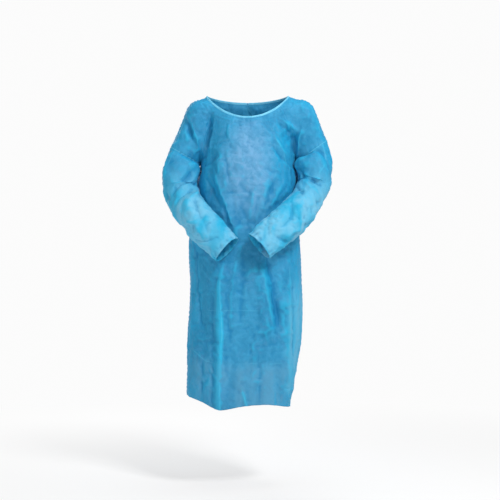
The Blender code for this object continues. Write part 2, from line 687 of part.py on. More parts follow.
def bow(tree, name, at, lift, loop, tail, spread):
    """A knot with two loops and two hanging tails, at the centre of the back."""
    under = behind(tree, np.zeros(3), at + np.array((0.3, 0.0, -0.5)) * KNOT[2], lift)
    middle = np.array((0.0, under[:, 1].max() + KNOT[1] / 2, at))
    ring = np.array([(-1, -0.6), (-1, 0.6), (-0.6, 1), (0.6, 1), (1, 0.6), (1, -0.6), (0.6, -1), (-0.6, -1)])
    sections = []
    for level, size in ((-0.5, 0.8), (-0.35, 1.0), (0.35, 1.0), (0.5, 0.8)):
        section = np.zeros((8, 3))
        section[:, (0, 1)] = ring * np.array(KNOT[:2]) / 2 * size
        sections.append(middle + section + (0, 0, level * KNOT[2]))
    add_swept(f"{name}_knot", sections, "gown cloth")
    for side, label in ((RIGHT, "right"), (LEFT, "left")):
        turn = np.linspace(0, math.pi, 15)
        out = loop * np.sin(turn) ** 0.8
        x = side * (KNOT[0] / 2 + 0.0006 + out)
        y = middle[1] + 0.0014 * np.cos(turn) + 0.09 * loop * np.sin(2 * turn) + 0.16 * out
        z = middle[2] - 11.0 * np.maximum(out - 0.010, 0) ** 2
        flat = np.stack([side * (0.25 + 8 * out), 0 * out, np.ones_like(out)], axis=-1)
        flat[0] = flat[-1] = (0, 0, 1)
        ribbon(f"{name}_loop_{label}", np.stack([x, y, z], axis=-1), flat, width=0.8 * TIE_WIDTH)
        fall = np.linspace(0, 1, 10)
        x = side * (TIE_WIDTH / 2 + 0.0008 + spread * tail * fall**1.2)
        z = middle[2] - KNOT[2] / 2 - 0.0005 - tail * fall
        y = behind(tree, x, z, TIE_LIFT + TIE_THICK)[:, 1]
        y = np.maximum(y, middle[1] - 0.010 * smooth_step(fall, 0, 0.3))
        y = y + 0.003 * fall * (1 + np.sin(7 * fall + side))
        path = np.stack([x, y, z], axis=-1)
        ribbon(f"{name}_tail_{label}", path, np.tile((1.0, 0.0, 0.0), (len(path), 1)))


def waist_tie(tree, side, label):
    """From the side seam across the back, to meet the other under the knot."""
    share = np.linspace(0.97, 0.0, 61)
    ring = torso_ring(share, BACK, side, WAIST_Z)
    outward = unit((ring - np.array((0.0, -0.05, WAIST_Z))) * (1, 1, 0))
    reach = []
    for level in (-0.45, 0.0, 0.45):
        starts = ring + 0.08 * outward + (0, 0, level * TIE_WIDTH)
        met = laid_on(tree, starts, -outward, TIE_LIFT + TIE_THICK / 2)
        reach.append(((met - ring) * outward).sum(-1))
    reach = np.max(reach, axis=0)
    reach = np.array([reach[max(i - 3, 0): i + 4].max() for i in range(len(reach))])
    path = (ring + reach[:, None] * outward)[::3]
    path[-1, 0] = side * 0.0006
    ribbon(f"waist_tie_{label}", path, np.tile((0.0, 0.0, 1.0), (len(path), 1)))


def main():
    clear_scene()
    back = whole_face(BACK)
    surfaces = {"front_panel": Surface(*whole_face(FRONT))}
    for side, label in ((RIGHT, "right"), (LEFT, "left")):
        surfaces[f"back_panel_{label}"] = Surface(*(lapped(grid, side)[:, ::-1] for grid in back))
        surfaces[f"sleeve_{label}"] = Surface(sleeve(side, 2 * ARM_COLUMNS, SLEEVE_ROWS), around=True)
    share_normals(surfaces)
    panels = [surfaces[name] for name in ("back_panel_right", "front_panel", "back_panel_left")]
    held = np.concatenate([seam_points(surfaces)] + [panel.points[panel.top[0]] for panel in panels])
    for name, surface in surfaces.items():
        if "sleeve" not in name:
            fold(surface, FRONT_FOLDS if name == "front_panel" else BACK_FOLDS, held)
    share_normals(surfaces)
    sleeves = [surfaces["sleeve_right"], surfaces["sleeve_left"]]
    trees = [BVHTree.FromPolygons(sleeve.points.tolist(), sleeve.faces.tolist()) for sleeve in sleeves]
    armholes = np.concatenate([sleeve.points[sleeve.top[0]] for sleeve in sleeves])
    for panel in panels:
        press_in(panel, trees, armholes)
    share_normals(surfaces)
    for name, surface in surfaces.items():
        add_shell(name, surface)
    stations = []
    for panel in panels:
        for edge, below in panel.top.T:
            if stations and np.allclose(stations[-1][0], panel.points[edge], atol=1e-5):
                continue
            stations.append(
                (panel.points[edge], panel.points[below], panel.normals[edge], panel.normals[below])
            )
    add_binding(stations)
    backs = [surfaces["back_panel_right"], surfaces["back_panel_left"]]
    corners = np.concatenate([backs[0].points, backs[1].points])
    faces = np.concatenate([backs[0].faces, backs[1].faces + len(backs[0].points)])
    tree = BVHTree.FromPolygons(corners.tolist(), faces.tolist())
    bow(tree, "neck", -NECK_DROP_BACK - 0.006, BINDING_PLY + 2 * LIFT, NECK_LOOP, NECK_TAIL, 0.10)
    bow(tree, "waist", WAIST_Z, TIE_LIFT + TIE_THICK + 0.0004, WAIST_LOOP, WAIST_TAIL, 0.07)
    for side, label in ((RIGHT, "right"), (LEFT, "left")):
        waist_tie(tree, side, label)


main()
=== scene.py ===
# %% [markdown]
# # A disposable isolation gown, from cut cloth to worn cloth
#
# An isolation gown is a few pieces of thin nonwoven cloth: a front, two backs that lap over each
# other, two sleeves, a narrow binding round the neck, and ties. It has almost no shape of its own.
# What it looks like comes from the body that once filled it and from how the cloth creases.
#
# The notebook starts from a plain solid model of the worn gown, which gives the size and the place
# of everything. The cloth is then made again as one fine sheet over the same general form, folded
# where it creases most, settled by a short cloth simulation, and cut back into its pieces.

import math

import bmesh
import bpy
import numpy as np
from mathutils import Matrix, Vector, noise
from mathutils.bvhtree import BVHTree
from mathutils.kdtree import KDTree


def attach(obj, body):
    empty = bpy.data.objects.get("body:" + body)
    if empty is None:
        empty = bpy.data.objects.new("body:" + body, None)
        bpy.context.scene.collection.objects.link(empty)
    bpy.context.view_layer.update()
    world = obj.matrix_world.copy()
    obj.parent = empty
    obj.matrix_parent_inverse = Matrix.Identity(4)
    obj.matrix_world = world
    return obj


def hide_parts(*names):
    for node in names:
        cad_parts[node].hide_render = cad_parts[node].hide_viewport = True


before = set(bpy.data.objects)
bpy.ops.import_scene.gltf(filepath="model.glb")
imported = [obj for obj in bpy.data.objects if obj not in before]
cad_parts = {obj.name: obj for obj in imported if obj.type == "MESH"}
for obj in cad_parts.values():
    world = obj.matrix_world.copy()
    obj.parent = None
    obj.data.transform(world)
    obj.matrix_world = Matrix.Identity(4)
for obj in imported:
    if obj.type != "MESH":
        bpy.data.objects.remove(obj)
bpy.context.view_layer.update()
print("plain model:", sorted(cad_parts))

# %% [markdown]
# ## Sizes
#
# These are the sizes of the plain model, in metres. +Z is up, the front faces -Y, and the origin is
# midway between the tops of the shoulders. Right and left are the wearer's, so the right sleeve is
# at -X. The neckline is round and wide, and each back runs 4 cm past the middle. The last five
# sizes differ from the plain model's: cloth this thin can lie closer, and the lap is full sooner.

# %% Driving sizes
GOWN_LENGTH = 1.125          # shoulder top straight down to the lowest point of the hem
NECK_HALF_WIDTH = 0.148      # centre to the shoulder end of the neckline
NECK_DROP_FRONT = 0.084
NECK_DROP_BACK = 0.016
NECK_DEPTH_FRONT = 0.100
NECK_DEPTH_BACK = 0.086
UNDERARM_Z = -0.250
LAP = 0.040                  # each back runs this far past the centre
NECK_OPENING = 0.003         # each back stops this far short of the centre at the neck
LAP_RECESS = 0.0042          # the right back passes this far under the left one
FULL_RECESS_Z = -0.042
TIE_WIDTH = 0.014
TIE_THICK = 0.0016
TIE_LIFT = 0.0012            # between a tie and the cloth that it lies on
KNOT = (0.014, 0.009, 0.014)
BINDING_PLY = 0.0008
LIFT = 0.0004                # between a piece and what it lies on
WAIST_Z = -0.450
NECK_LOOP, NECK_TAIL = 0.050, 0.135
WAIST_LOOP, WAIST_TAIL = 0.062, 0.235

FULL_LAP_Z = -0.100          # the lap grows from the neck down to here
BINDING_WIDTH = 0.007
UNDERARM_ROOM = 0.003        # between a sleeve's inner side and the body, below the underarm
SLEEVE_CLEARANCE = 0.003     # the forearms press the front in, and stay this far off it
CLOTH = 0.0006               # the real sheet is half as thick, but its edge has to show

FRONT, BACK = -1, 1
RIGHT, LEFT = -1, 1
SIDES = ((RIGHT, "right"), (LEFT, "left"))

# Coarse counts are those of the plain model. The fine ones cut the cloth every 8 or 9 mm.
COARSE = dict(skirt_columns=10, arm_columns=8, yoke_rows=8)
FINE = dict(skirt_columns=35, arm_columns=28, yoke_rows=30, skirt_rows=104, sleeve_rows=76)

# %% [markdown]
# ## The general form under the cloth
#
# No wearer is modelled. A torso column, a shoulder bar and two upper arms are blended into one
# distance function, which says how far any point stands off the form on which the cloth rests.
# Tables hold a row for each height, and a smooth curve through the rows gives what lies between.

# %% Small helpers for tables and vectors
def column(table, index):
    """One named column of a table, as an array."""
    return np.array([row[index] for row in table], float)


def smooth_table(x, keys, values):
    """Values read from a table at x, on a smooth curve through its rows."""
    keys, values = np.asarray(keys, float), np.asarray(values, float)
    if keys[0] > keys[-1]:
        keys, values = keys[::-1], values[::-1]
    slopes = np.gradient(values, keys, axis=0)
    x = np.clip(x, keys[0], keys[-1])
    low = np.clip(np.searchsorted(keys, x) - 1, 0, len(keys) - 2)
    span = keys[low + 1] - keys[low]
    u = (x - keys[low]) / span
    extra = (1,) * (values.ndim - 1)
    u, span = u.reshape(u.shape + extra), span.reshape(span.shape + extra)
    rise, bump = u * u * (3 - 2 * u), u * (1 - u)
    return (
        values[low] * (1 - rise)
        + values[low + 1] * rise
        + span * bump * ((1 - u) * slopes[low] - u * slopes[low + 1])
    )


def smooth_step(x, low, high):
    u = np.clip((x - low) / (high - low), 0.0, 1.0)
    return u * u * (3 - 2 * u)


def unit(vectors):
    return vectors / np.maximum(np.linalg.norm(vectors, axis=-1, keepdims=True), 1e-12)


def steps_along(path):
    """The length of each step of a path."""
    return np.linalg.norm(np.diff(path, axis=0), axis=1)


def run_along(path):
    """How far along a path each of its points is."""
    return np.concatenate([[0], np.cumsum(steps_along(path))])


def tree_of(points, numbers=None):
    """A search tree that finds the points nearest to a place and gives back their numbers."""
    tree = KDTree(len(points))
    for number, point in zip(range(len(points)) if numbers is None else numbers, points):
        tree.insert(Vector(point), int(number))
    tree.balance()
    return tree


def in_mm(size, digits=1):
    return f"{size * 1000:.{digits}f} mm"


# %% The torso column, shoulder bars and upper arms
TORSO = (
    # z,     right,  left,  front,  back,  widest
    (0.020, 0.070, 0.070, 0.040, 0.064, 0.000),
    (-0.040, 0.112, 0.112, 0.076, 0.086, 0.000),
    (-0.090, 0.138, 0.138, 0.106, 0.102, 0.002),
    (-0.160, 0.158, 0.158, 0.132, 0.114, 0.008),
    (-0.250, 0.173, 0.174, 0.142, 0.118, 0.028),
    (-0.280, 0.175, 0.175, 0.141, 0.117, 0.032),
    (-0.325, 0.182, 0.181, 0.139, 0.115, 0.042),
    (-0.360, 0.184, 0.182, 0.136, 0.114, 0.042),
    (-0.440, 0.197, 0.186, 0.130, 0.114, 0.032),
    (-0.520, 0.213, 0.190, 0.134, 0.120, 0.020),
    (-0.600, 0.214, 0.195, 0.143, 0.130, 0.010),
    (-0.700, 0.209, 0.198, 0.147, 0.138, 0.004),
    (-0.820, 0.213, 0.199, 0.149, 0.142, 0.000),
    (-0.900, 0.218, 0.194, 0.150, 0.142, 0.000),
    (-1.000, 0.219, 0.176, 0.151, 0.140, 0.000),
    (-1.060, 0.221, 0.160, 0.152, 0.138, 0.000),
    (-1.160, 0.222, 0.154, 0.153, 0.136, 0.000),
)
TORSO_POWER = 2.25           # 2 is an ellipse, more is squarer
SHOULDER_BAR = {
    RIGHT: dict(start=(0.070, 0.0, -0.040), end=(0.178, 0.0, -0.066), radii=(0.036, 0.046)),
    LEFT: dict(start=(0.070, 0.0, -0.038), end=(0.193, 0.0, -0.070), radii=(0.036, 0.055)),
}
UPPER_ARM = {
    RIGHT: dict(start=(0.178, 0.0, -0.066), end=(0.226, 0.0, -0.215), radii=(0.046, 0.056)),
    LEFT: dict(start=(0.193, 0.0, -0.070), end=(0.241, 0.0, -0.195), radii=(0.055, 0.054)),
}
BAR_DEPTH = 0.80             # below 1 makes the bars deeper than wide
BLEND = 0.060                # how widely the hollow between two forms is filled


def torso_reach(z):
    """Right, left, front and back reach of the torso column at height z, and its widest place."""
    heights = column(TORSO, 0)
    return [smooth_table(z, heights, column(TORSO, index)) for index in (1, 2, 3, 4, 5)]


def torso_distance(points):
    x, y, z = points[..., 0], points[..., 1], points[..., 2]
    right, left, front, back, widest = torso_reach(z)
    across = np.where(x < 0, right, left)
    depth = np.where(y < widest, front + widest, back - widest)
    power = TORSO_POWER
    scaled = (np.abs(x / across) ** power + np.abs((y - widest) / depth) ** power) ** (1 / power)
    return (scaled - 1.0) * np.minimum(across, depth)


def bar_distance(points, side, start, end, radii):
    """Distance to a tapered round bar that runs down one side."""
    local = points * np.array((side, BAR_DEPTH, 1.0))
    start, end = np.array(start) * (1, BAR_DEPTH, 1), np.array(end) * (1, BAR_DEPTH, 1)
    along = end - start
    share = np.clip((local - start) @ along / (along @ along), 0.0, 1.0)
    nearest = start + share[..., None] * along
    return np.linalg.norm(local - nearest, axis=-1) - (radii[0] * (1 - share) + radii[1] * share)


def smooth_min(a, b, radius):
    mix = np.clip(0.5 + 0.5 * (b - a) / radius, 0.0, 1.0)
    return b * (1 - mix) + a * mix - radius * mix * (1 - mix)


def figure_distance(points):
    """How far points stand off the cloth's resting form."""
    found = torso_distance(points)
    for side in (RIGHT, LEFT):
        shoulder = bar_distance(points, side, **SHOULDER_BAR[side])
        arm = bar_distance(points, side, **UPPER_ARM[side])
        found = smooth_min(found, np.minimum(shoulder, arm), BLEND)
    return found


def settle(points, grip=1.0, passes=6):
    """Points moved onto the form, straight towards it."""
    step = 1e-4
    for _ in range(passes):
        ahead = [figure_distance(points + step * axis) for axis in np.eye(3)]
        before = [figure_distance(points - step * axis) for axis in np.eye(3)]
        slope = np.stack([a - b for a, b in zip(ahead, before)], axis=-1) / (2 * step)
        size = np.maximum((slope**2).sum(-1, keepdims=True), 0.25)
        points = points - grip * figure_distance(points)[..., None] * slope / size
    return points


# %% [markdown]
# ## The outlines of the panels
#
# A cutter thinks in edges first: the neckline, the shoulder seam, the armhole, the side seam and
# the hem. Each edge is one function of a share from 0 to 1, so two panels that are sewn together
# read the same points and their seam closes exactly.

# %% Edges that the panels share
ARMHOLE_TOP = {RIGHT: (-0.281, 0.0, -0.188), LEFT: (0.289, 0.0, -0.163)}
ARMHOLE_DEPTH = 0.066
HEM = (
    # x,     front,  back
    (-0.222, -1.087, -1.087),
    (-0.170, -1.100, -1.098),
    (-0.106, -1.125, -1.108),
    (0.000, -1.112, -1.112),
    (0.060, -1.109, -1.112),
    (0.110, -1.116, -1.114),
    (0.154, -1.128, -1.128),
)


def neckline(share, face, side):
    """From the centre of the neck (share 0) to its shoulder end (share 1)."""
    if face == FRONT:
        drop, depth = NECK_DROP_FRONT, NECK_DEPTH_FRONT
    else:
        drop, depth = NECK_DROP_BACK, NECK_DEPTH_BACK
    across, rest = np.sin(share * math.pi / 2), np.cos(share * math.pi / 2) ** 2
    return np.stack([side * NECK_HALF_WIDTH * across, face * depth * rest**0.62, -drop * rest**0.85], axis=-1)


def underarm(side):
    right, left, _, _, widest = torso_reach(np.array(UNDERARM_Z))
    return np.array((-right if side == RIGHT else left, widest, UNDERARM_Z), float)


def armhole(share, face, side):
    """From the underarm (share 0) round the front or the back of the arm to the top (share 1)."""
    top, under = np.array(ARMHOLE_TOP[side]), underarm(side)
    turn = (1 - share)[:, None] * math.pi
    outward = np.array((0.0, face * ARMHOLE_DEPTH, 0.0))
    return (top + under) / 2 + (top - under) / 2 * np.cos(turn) + outward * np.sin(turn)


def shoulder_seam(share, side):
    """From the neckline (share 0) over the shoulder to the armhole's top (share 1)."""
    start, end = neckline(np.array((1.0,)), FRONT, side)[0], np.array(ARMHOLE_TOP[side])
    arched = start + share[:, None] * (end - start)
    arched = arched + np.sin(share * math.pi)[:, None] * np.array((side * 0.025, 0.0, 0.055))
    settled = settle(arched)
    off_start, off_end = start - settled[0], end - settled[-1]
    near_start, near_end = np.exp(-share / 0.15), np.exp(-(1 - share) / 0.15)
    settled = settled + near_start[:, None] * off_start + near_end[:, None] * off_end
    settled[0], settled[-1] = start, end
    return settled * (1, 0, 1)


def torso_ring(share, face, side, z):
    """A quarter of the torso column, from its centre (share 0) to its side (share 1)."""
    fine = np.linspace(0, math.pi / 2, 61)
    right, left, front, back, widest = torso_reach(np.array(z, float))
    across = right if side == RIGHT else left
    depth = front + widest if face == FRONT else back - widest
    x = across * np.sin(fine) ** (2 / TORSO_POWER)
    y = depth * np.cos(fine) ** (2 / TORSO_POWER)
    run = np.concatenate([[0], np.cumsum(np.hypot(np.diff(x), np.diff(y)))])
    at = share * run[-1]
    y = widest + face * np.interp(at, run, y)
    return np.stack([side * np.interp(at, run, x), y, np.full_like(share, z)], axis=-1)


def centre_line(share, face):
    """Down the middle of the yoke, from the neckline (share 0) to underarm height (share 1)."""
    top = neckline(np.array((0.0,)), face, RIGHT)[0]
    bottom = torso_ring(np.array((0.0,)), face, RIGHT, UNDERARM_Z)[0]
    settled = settle(top + share[:, None] * (bottom - top))
    return settled + (1 - share)[:, None] ** 2 * (top - settled[0])


# %% [markdown]
# ## Grids for the front, the backs and the sleeves
#
# Above the underarm a panel is a fan: its rows run from the neckline out to the armhole. The four
# edges of the fan are known, and a Coons patch fills them. The patch is then relaxed onto the form.
# That is done on a coarse grid, as in the plain model, and only the difference is read on the fine
# grid, so both share one shape. Below the underarm the rows are rings of the torso column.

# %% The yoke and the skirt of one quarter
def coons_patch(face, side, skirt_columns, arm_columns, rows):
    """The flat filling of the yoke's four edges, as rows of columns from the centre outwards."""
    u, t = np.linspace(0, 1, skirt_columns + arm_columns + 1), np.linspace(0, 1, rows + 1)
    top = neckline(u, face, side)
    low = torso_ring(np.linspace(0, 1, skirt_columns + 1), face, side, UNDERARM_Z)
    bottom = np.concatenate([low, armhole(np.linspace(0, 1, arm_columns + 1)[1:], face, side)])
    inner, outer = centre_line(t, face), shoulder_seam(t, side)
    s, t = u[None, :, None], t[:, None, None]
    corners = (1 - t) * ((1 - s) * top[0] + s * top[-1]) + t * ((1 - s) * bottom[0] + s * bottom[-1])
    grid = (1 - t) * top + t * bottom + (1 - s) * inner[:, None] + s * outer[:, None] - corners
    grid[:, 0], grid[:, -1], grid[0], grid[-1] = inner, outer, top, bottom
    return grid


def relaxed(grid):
    """The patch smoothed and drawn onto the form, with its edges held."""
    rows = len(grid) - 1
    grid = grid.copy()
    inside = grid[1:-1, 1:-1]
    hold = 0.5 * smooth_step(1 - np.linspace(0, 1, rows + 1)[1:-1, None, None], 0.0, 0.35)
    for _ in range(2 * rows):
        inside += 0.5 * ((grid[:-2, 1:-1] + grid[2:, 1:-1] + grid[1:-1, :-2] + grid[1:-1, 2:]) / 4 - inside)
        inside += hold * (settle(inside.copy(), passes=1) - inside)
    return grid


def read_finer(offsets, rows, columns):
    """A coarse grid of offsets read on a finer one, along smooth curves both ways."""
    down = smooth_table(np.linspace(0, 1, rows), np.linspace(0, 1, len(offsets)), offsets)
    across = np.linspace(0, 1, offsets.shape[1])
    return smooth_table(np.linspace(0, 1, columns), across, down.swapaxes(0, 1)).swapaxes(0, 1)


def yoke(face, side):
    rough = coons_patch(face, side, COARSE["skirt_columns"], COARSE["arm_columns"], COARSE["yoke_rows"])
    fine = coons_patch(face, side, FINE["skirt_columns"], FINE["arm_columns"], FINE["yoke_rows"])
    return fine + read_finer(relaxed(rough) - rough, *fine.shape[:2])


def skirt(face, side):
    """From underarm height down to the hem. Front and back share their heights at the side."""
    shares, found = np.linspace(0, 1, FINE["skirt_columns"] + 1), []
    for share in np.linspace(0, 1, FINE["skirt_rows"] + 1):
        ring = torso_ring(shares, face, side, UNDERARM_Z - share * (GOWN_LENGTH + UNDERARM_Z))
        own = smooth_table(ring[:, 0], column(HEM, 0), column(HEM, 1 if face == FRONT else 2))
        both = smooth_table(ring[:, 0], column(HEM, 0), (column(HEM, 1) + column(HEM, 2)) / 2)
        hem = own + smooth_step(shares, 0.8, 1.0) * (both - own)
        ring[:, 2] = UNDERARM_Z + share * (hem - UNDERARM_Z)
        found.append(ring)
    return np.stack(found)


def whole_face(face):
    """The yoke and the skirt of one face, each from the right side across to the left."""
    halves = [(yoke(face, side), skirt(face, side)) for side in (RIGHT, LEFT)]
    return [np.concatenate([right[:, :0:-1], left], axis=1) for right, left in zip(*halves)]


# %% The back opening and its lap
MOVED = 11                   # columns each side of the centre that the lap stretches


def lapped(grid, side):
    """One back panel out of the whole back, run past the centre and under or over the other."""
    middle = grid.shape[1] // 2
    if side == RIGHT:
        grid = grid[:, ::-1] * (-1, 1, 1)
    down = -grid[:, middle, 2]
    reach = (LAP + NECK_OPENING) * smooth_step(down, NECK_DROP_BACK, -FULL_LAP_Z) - NECK_OPENING
    panel = grid[:, middle:].copy()
    for row, points in enumerate(grid):
        near = slice(middle - 2 * MOVED, middle + MOVED + 1)
        places = np.linspace(-reach[row], points[middle + MOVED, 0], MOVED + 1)
        for axis in range(3):
            panel[row, : MOVED + 1, axis] = np.interp(places, points[near, 0], points[near, axis])
    if side == RIGHT:
        under = LAP_RECESS * smooth_step(down, NECK_DROP_BACK, -FULL_RECESS_Z)[:, None]
        panel[..., 1] -= under * (1 - smooth_step(panel[..., 0], LAP + 0.004, LAP + 0.034))
        panel = panel * (-1, 1, 1)
        return panel[:, ::-1]
    return panel


# %% Sleeve sections down each arm: the middle, then half sizes across and in depth
SLEEVE = {
    RIGHT: (
        # x,      y,      z,     across, depth
        (-0.243, -0.022, -0.275, 0.064, 0.060),
        (-0.243, -0.030, -0.340, 0.064, 0.058),
        (-0.220, -0.076, -0.396, 0.062, 0.056),
        (-0.180, -0.132, -0.448, 0.062, 0.053),
        (-0.130, -0.169, -0.502, 0.062, 0.048),
        (-0.088, -0.184, -0.542, 0.056, 0.043),
        (-0.070, -0.191, -0.559, 0.055, 0.042),
    ),
    LEFT: (
        (0.243, -0.022, -0.262, 0.064, 0.060),
        (0.238, -0.030, -0.325, 0.061, 0.058),
        (0.213, -0.076, -0.380, 0.057, 0.056),
        (0.172, -0.132, -0.434, 0.062, 0.053),
        (0.120, -0.168, -0.482, 0.063, 0.048),
        (0.064, -0.188, -0.528, 0.058, 0.043),
        (0.041, -0.196, -0.548, 0.056, 0.042),
    ),
}


def sleeve(side):
    """A tube from the armhole to the cuff as rings, with each point's place down and round it."""
    columns, rows = 2 * FINE["arm_columns"], FINE["sleeve_rows"]
    turn = np.linspace(0, 2 * math.pi, columns + 1)[:-1]
    top, under = np.array(ARMHOLE_TOP[side]), underarm(side)
    start = np.append((top + under) / 2, (np.linalg.norm(top - under) / 2, ARMHOLE_DEPTH))
    table = np.vstack([start, SLEEVE[side]])
    run = run_along(table[:, :3])
    along = np.linspace(0, run[-1], rows + 1)
    sections = smooth_table(along, run, table)
    middles, across, depth = sections[:, :3], sections[:, 3], sections[:, 4]
    heading = unit(np.gradient(middles, along, axis=0))
    outward = side * unit(np.cross(heading, np.array((0.0, 1.0, 0.0))))
    forward = np.cross(heading, side * outward)
    rings = (
        middles[:, None]
        + outward[:, None] * (across[:, None] * np.cos(turn))[..., None]
        + forward[:, None] * (depth[:, None] * np.sin(turn))[..., None]
    )
    half = np.abs(np.arange(columns) * 2 / columns - 1)
    fronts = (turn < math.pi)[:, None]
    seam = np.where(fronts, armhole(half, FRONT, side), armhole(half, BACK, side))
    ease = 1 - smooth_step(along, 0.0, 0.060)
    rings = rings + ease[:, None, None] * (seam - rings[0])
    room = UNDERARM_ROOM * smooth_step(along, 0.0, 0.03) * (1 - smooth_step(along, 0.08, 0.14))
    rings[..., 0] += side * np.maximum(room[:, None] - torso_distance(rings), 0) * (room > 0)[:, None]
    round_it = turn[None] * across[:, None]
    last_quarter = turn[None] > 1.5 * math.pi
    round_it = np.where(last_quarter, round_it - 2 * math.pi * across[:, None], round_it)
    places = np.stack([along[:, None] + 0 * turn, round_it], axis=-1)
    if side == LEFT:
        rings, places = rings[:, ::-1], places[:, ::-1]
    return rings, places


# %% [markdown]
# ## Folds listed one by one
#
# Each fold is a row in a table: how far it rises, how wide it is, how sharp its crest is, and the
# few points that it passes through. A soft fold has a round crest, as where cloth hangs. A sharp
# one has an edge, as where papery cloth is pinched. Folds die away at both ends. The first rows
# are the large folds of the plain model, and the rest are creases too small for it.

# %% How high the folds lift the cloth
def fold_height(places, folds):
    """The lift at each place from a table of folds: rise, width, sharpness (0 to 1) and path."""
    height = np.zeros(places.shape[:-1])
    for rise, width, sharp, path in folds:
        path = np.array(path, float)
        legs = steps_along(path)
        nearest = np.full(places.shape[:-1], np.inf)
        along = np.zeros(places.shape[:-1])
        for start, end, leg, before in zip(path, path[1:], legs, np.cumsum(legs) - legs):
            share = np.clip((places - start) @ (end - start) / leg**2, 0, 1)
            away = np.linalg.norm(places - start - share[..., None] * (end - start), axis=-1)
            along = np.where(away < nearest, before + share * leg, along)
            nearest = np.minimum(nearest, away)
        taper = min(0.06, legs.sum() / 2.5)
        to_end = legs.sum() - along
        ends = smooth_step(along, -0.25 * taper, taper) * smooth_step(to_end, -0.25 * taper, taper)
        soft_crest = np.exp(-((nearest / width) ** 2))
        sharp_crest = np.exp(0.2 - np.sqrt((1.6 * nearest / width) ** 2 + 0.04))
        height += rise * ends * ((1 - sharp) * soft_crest + sharp * sharp_crest)
    return height


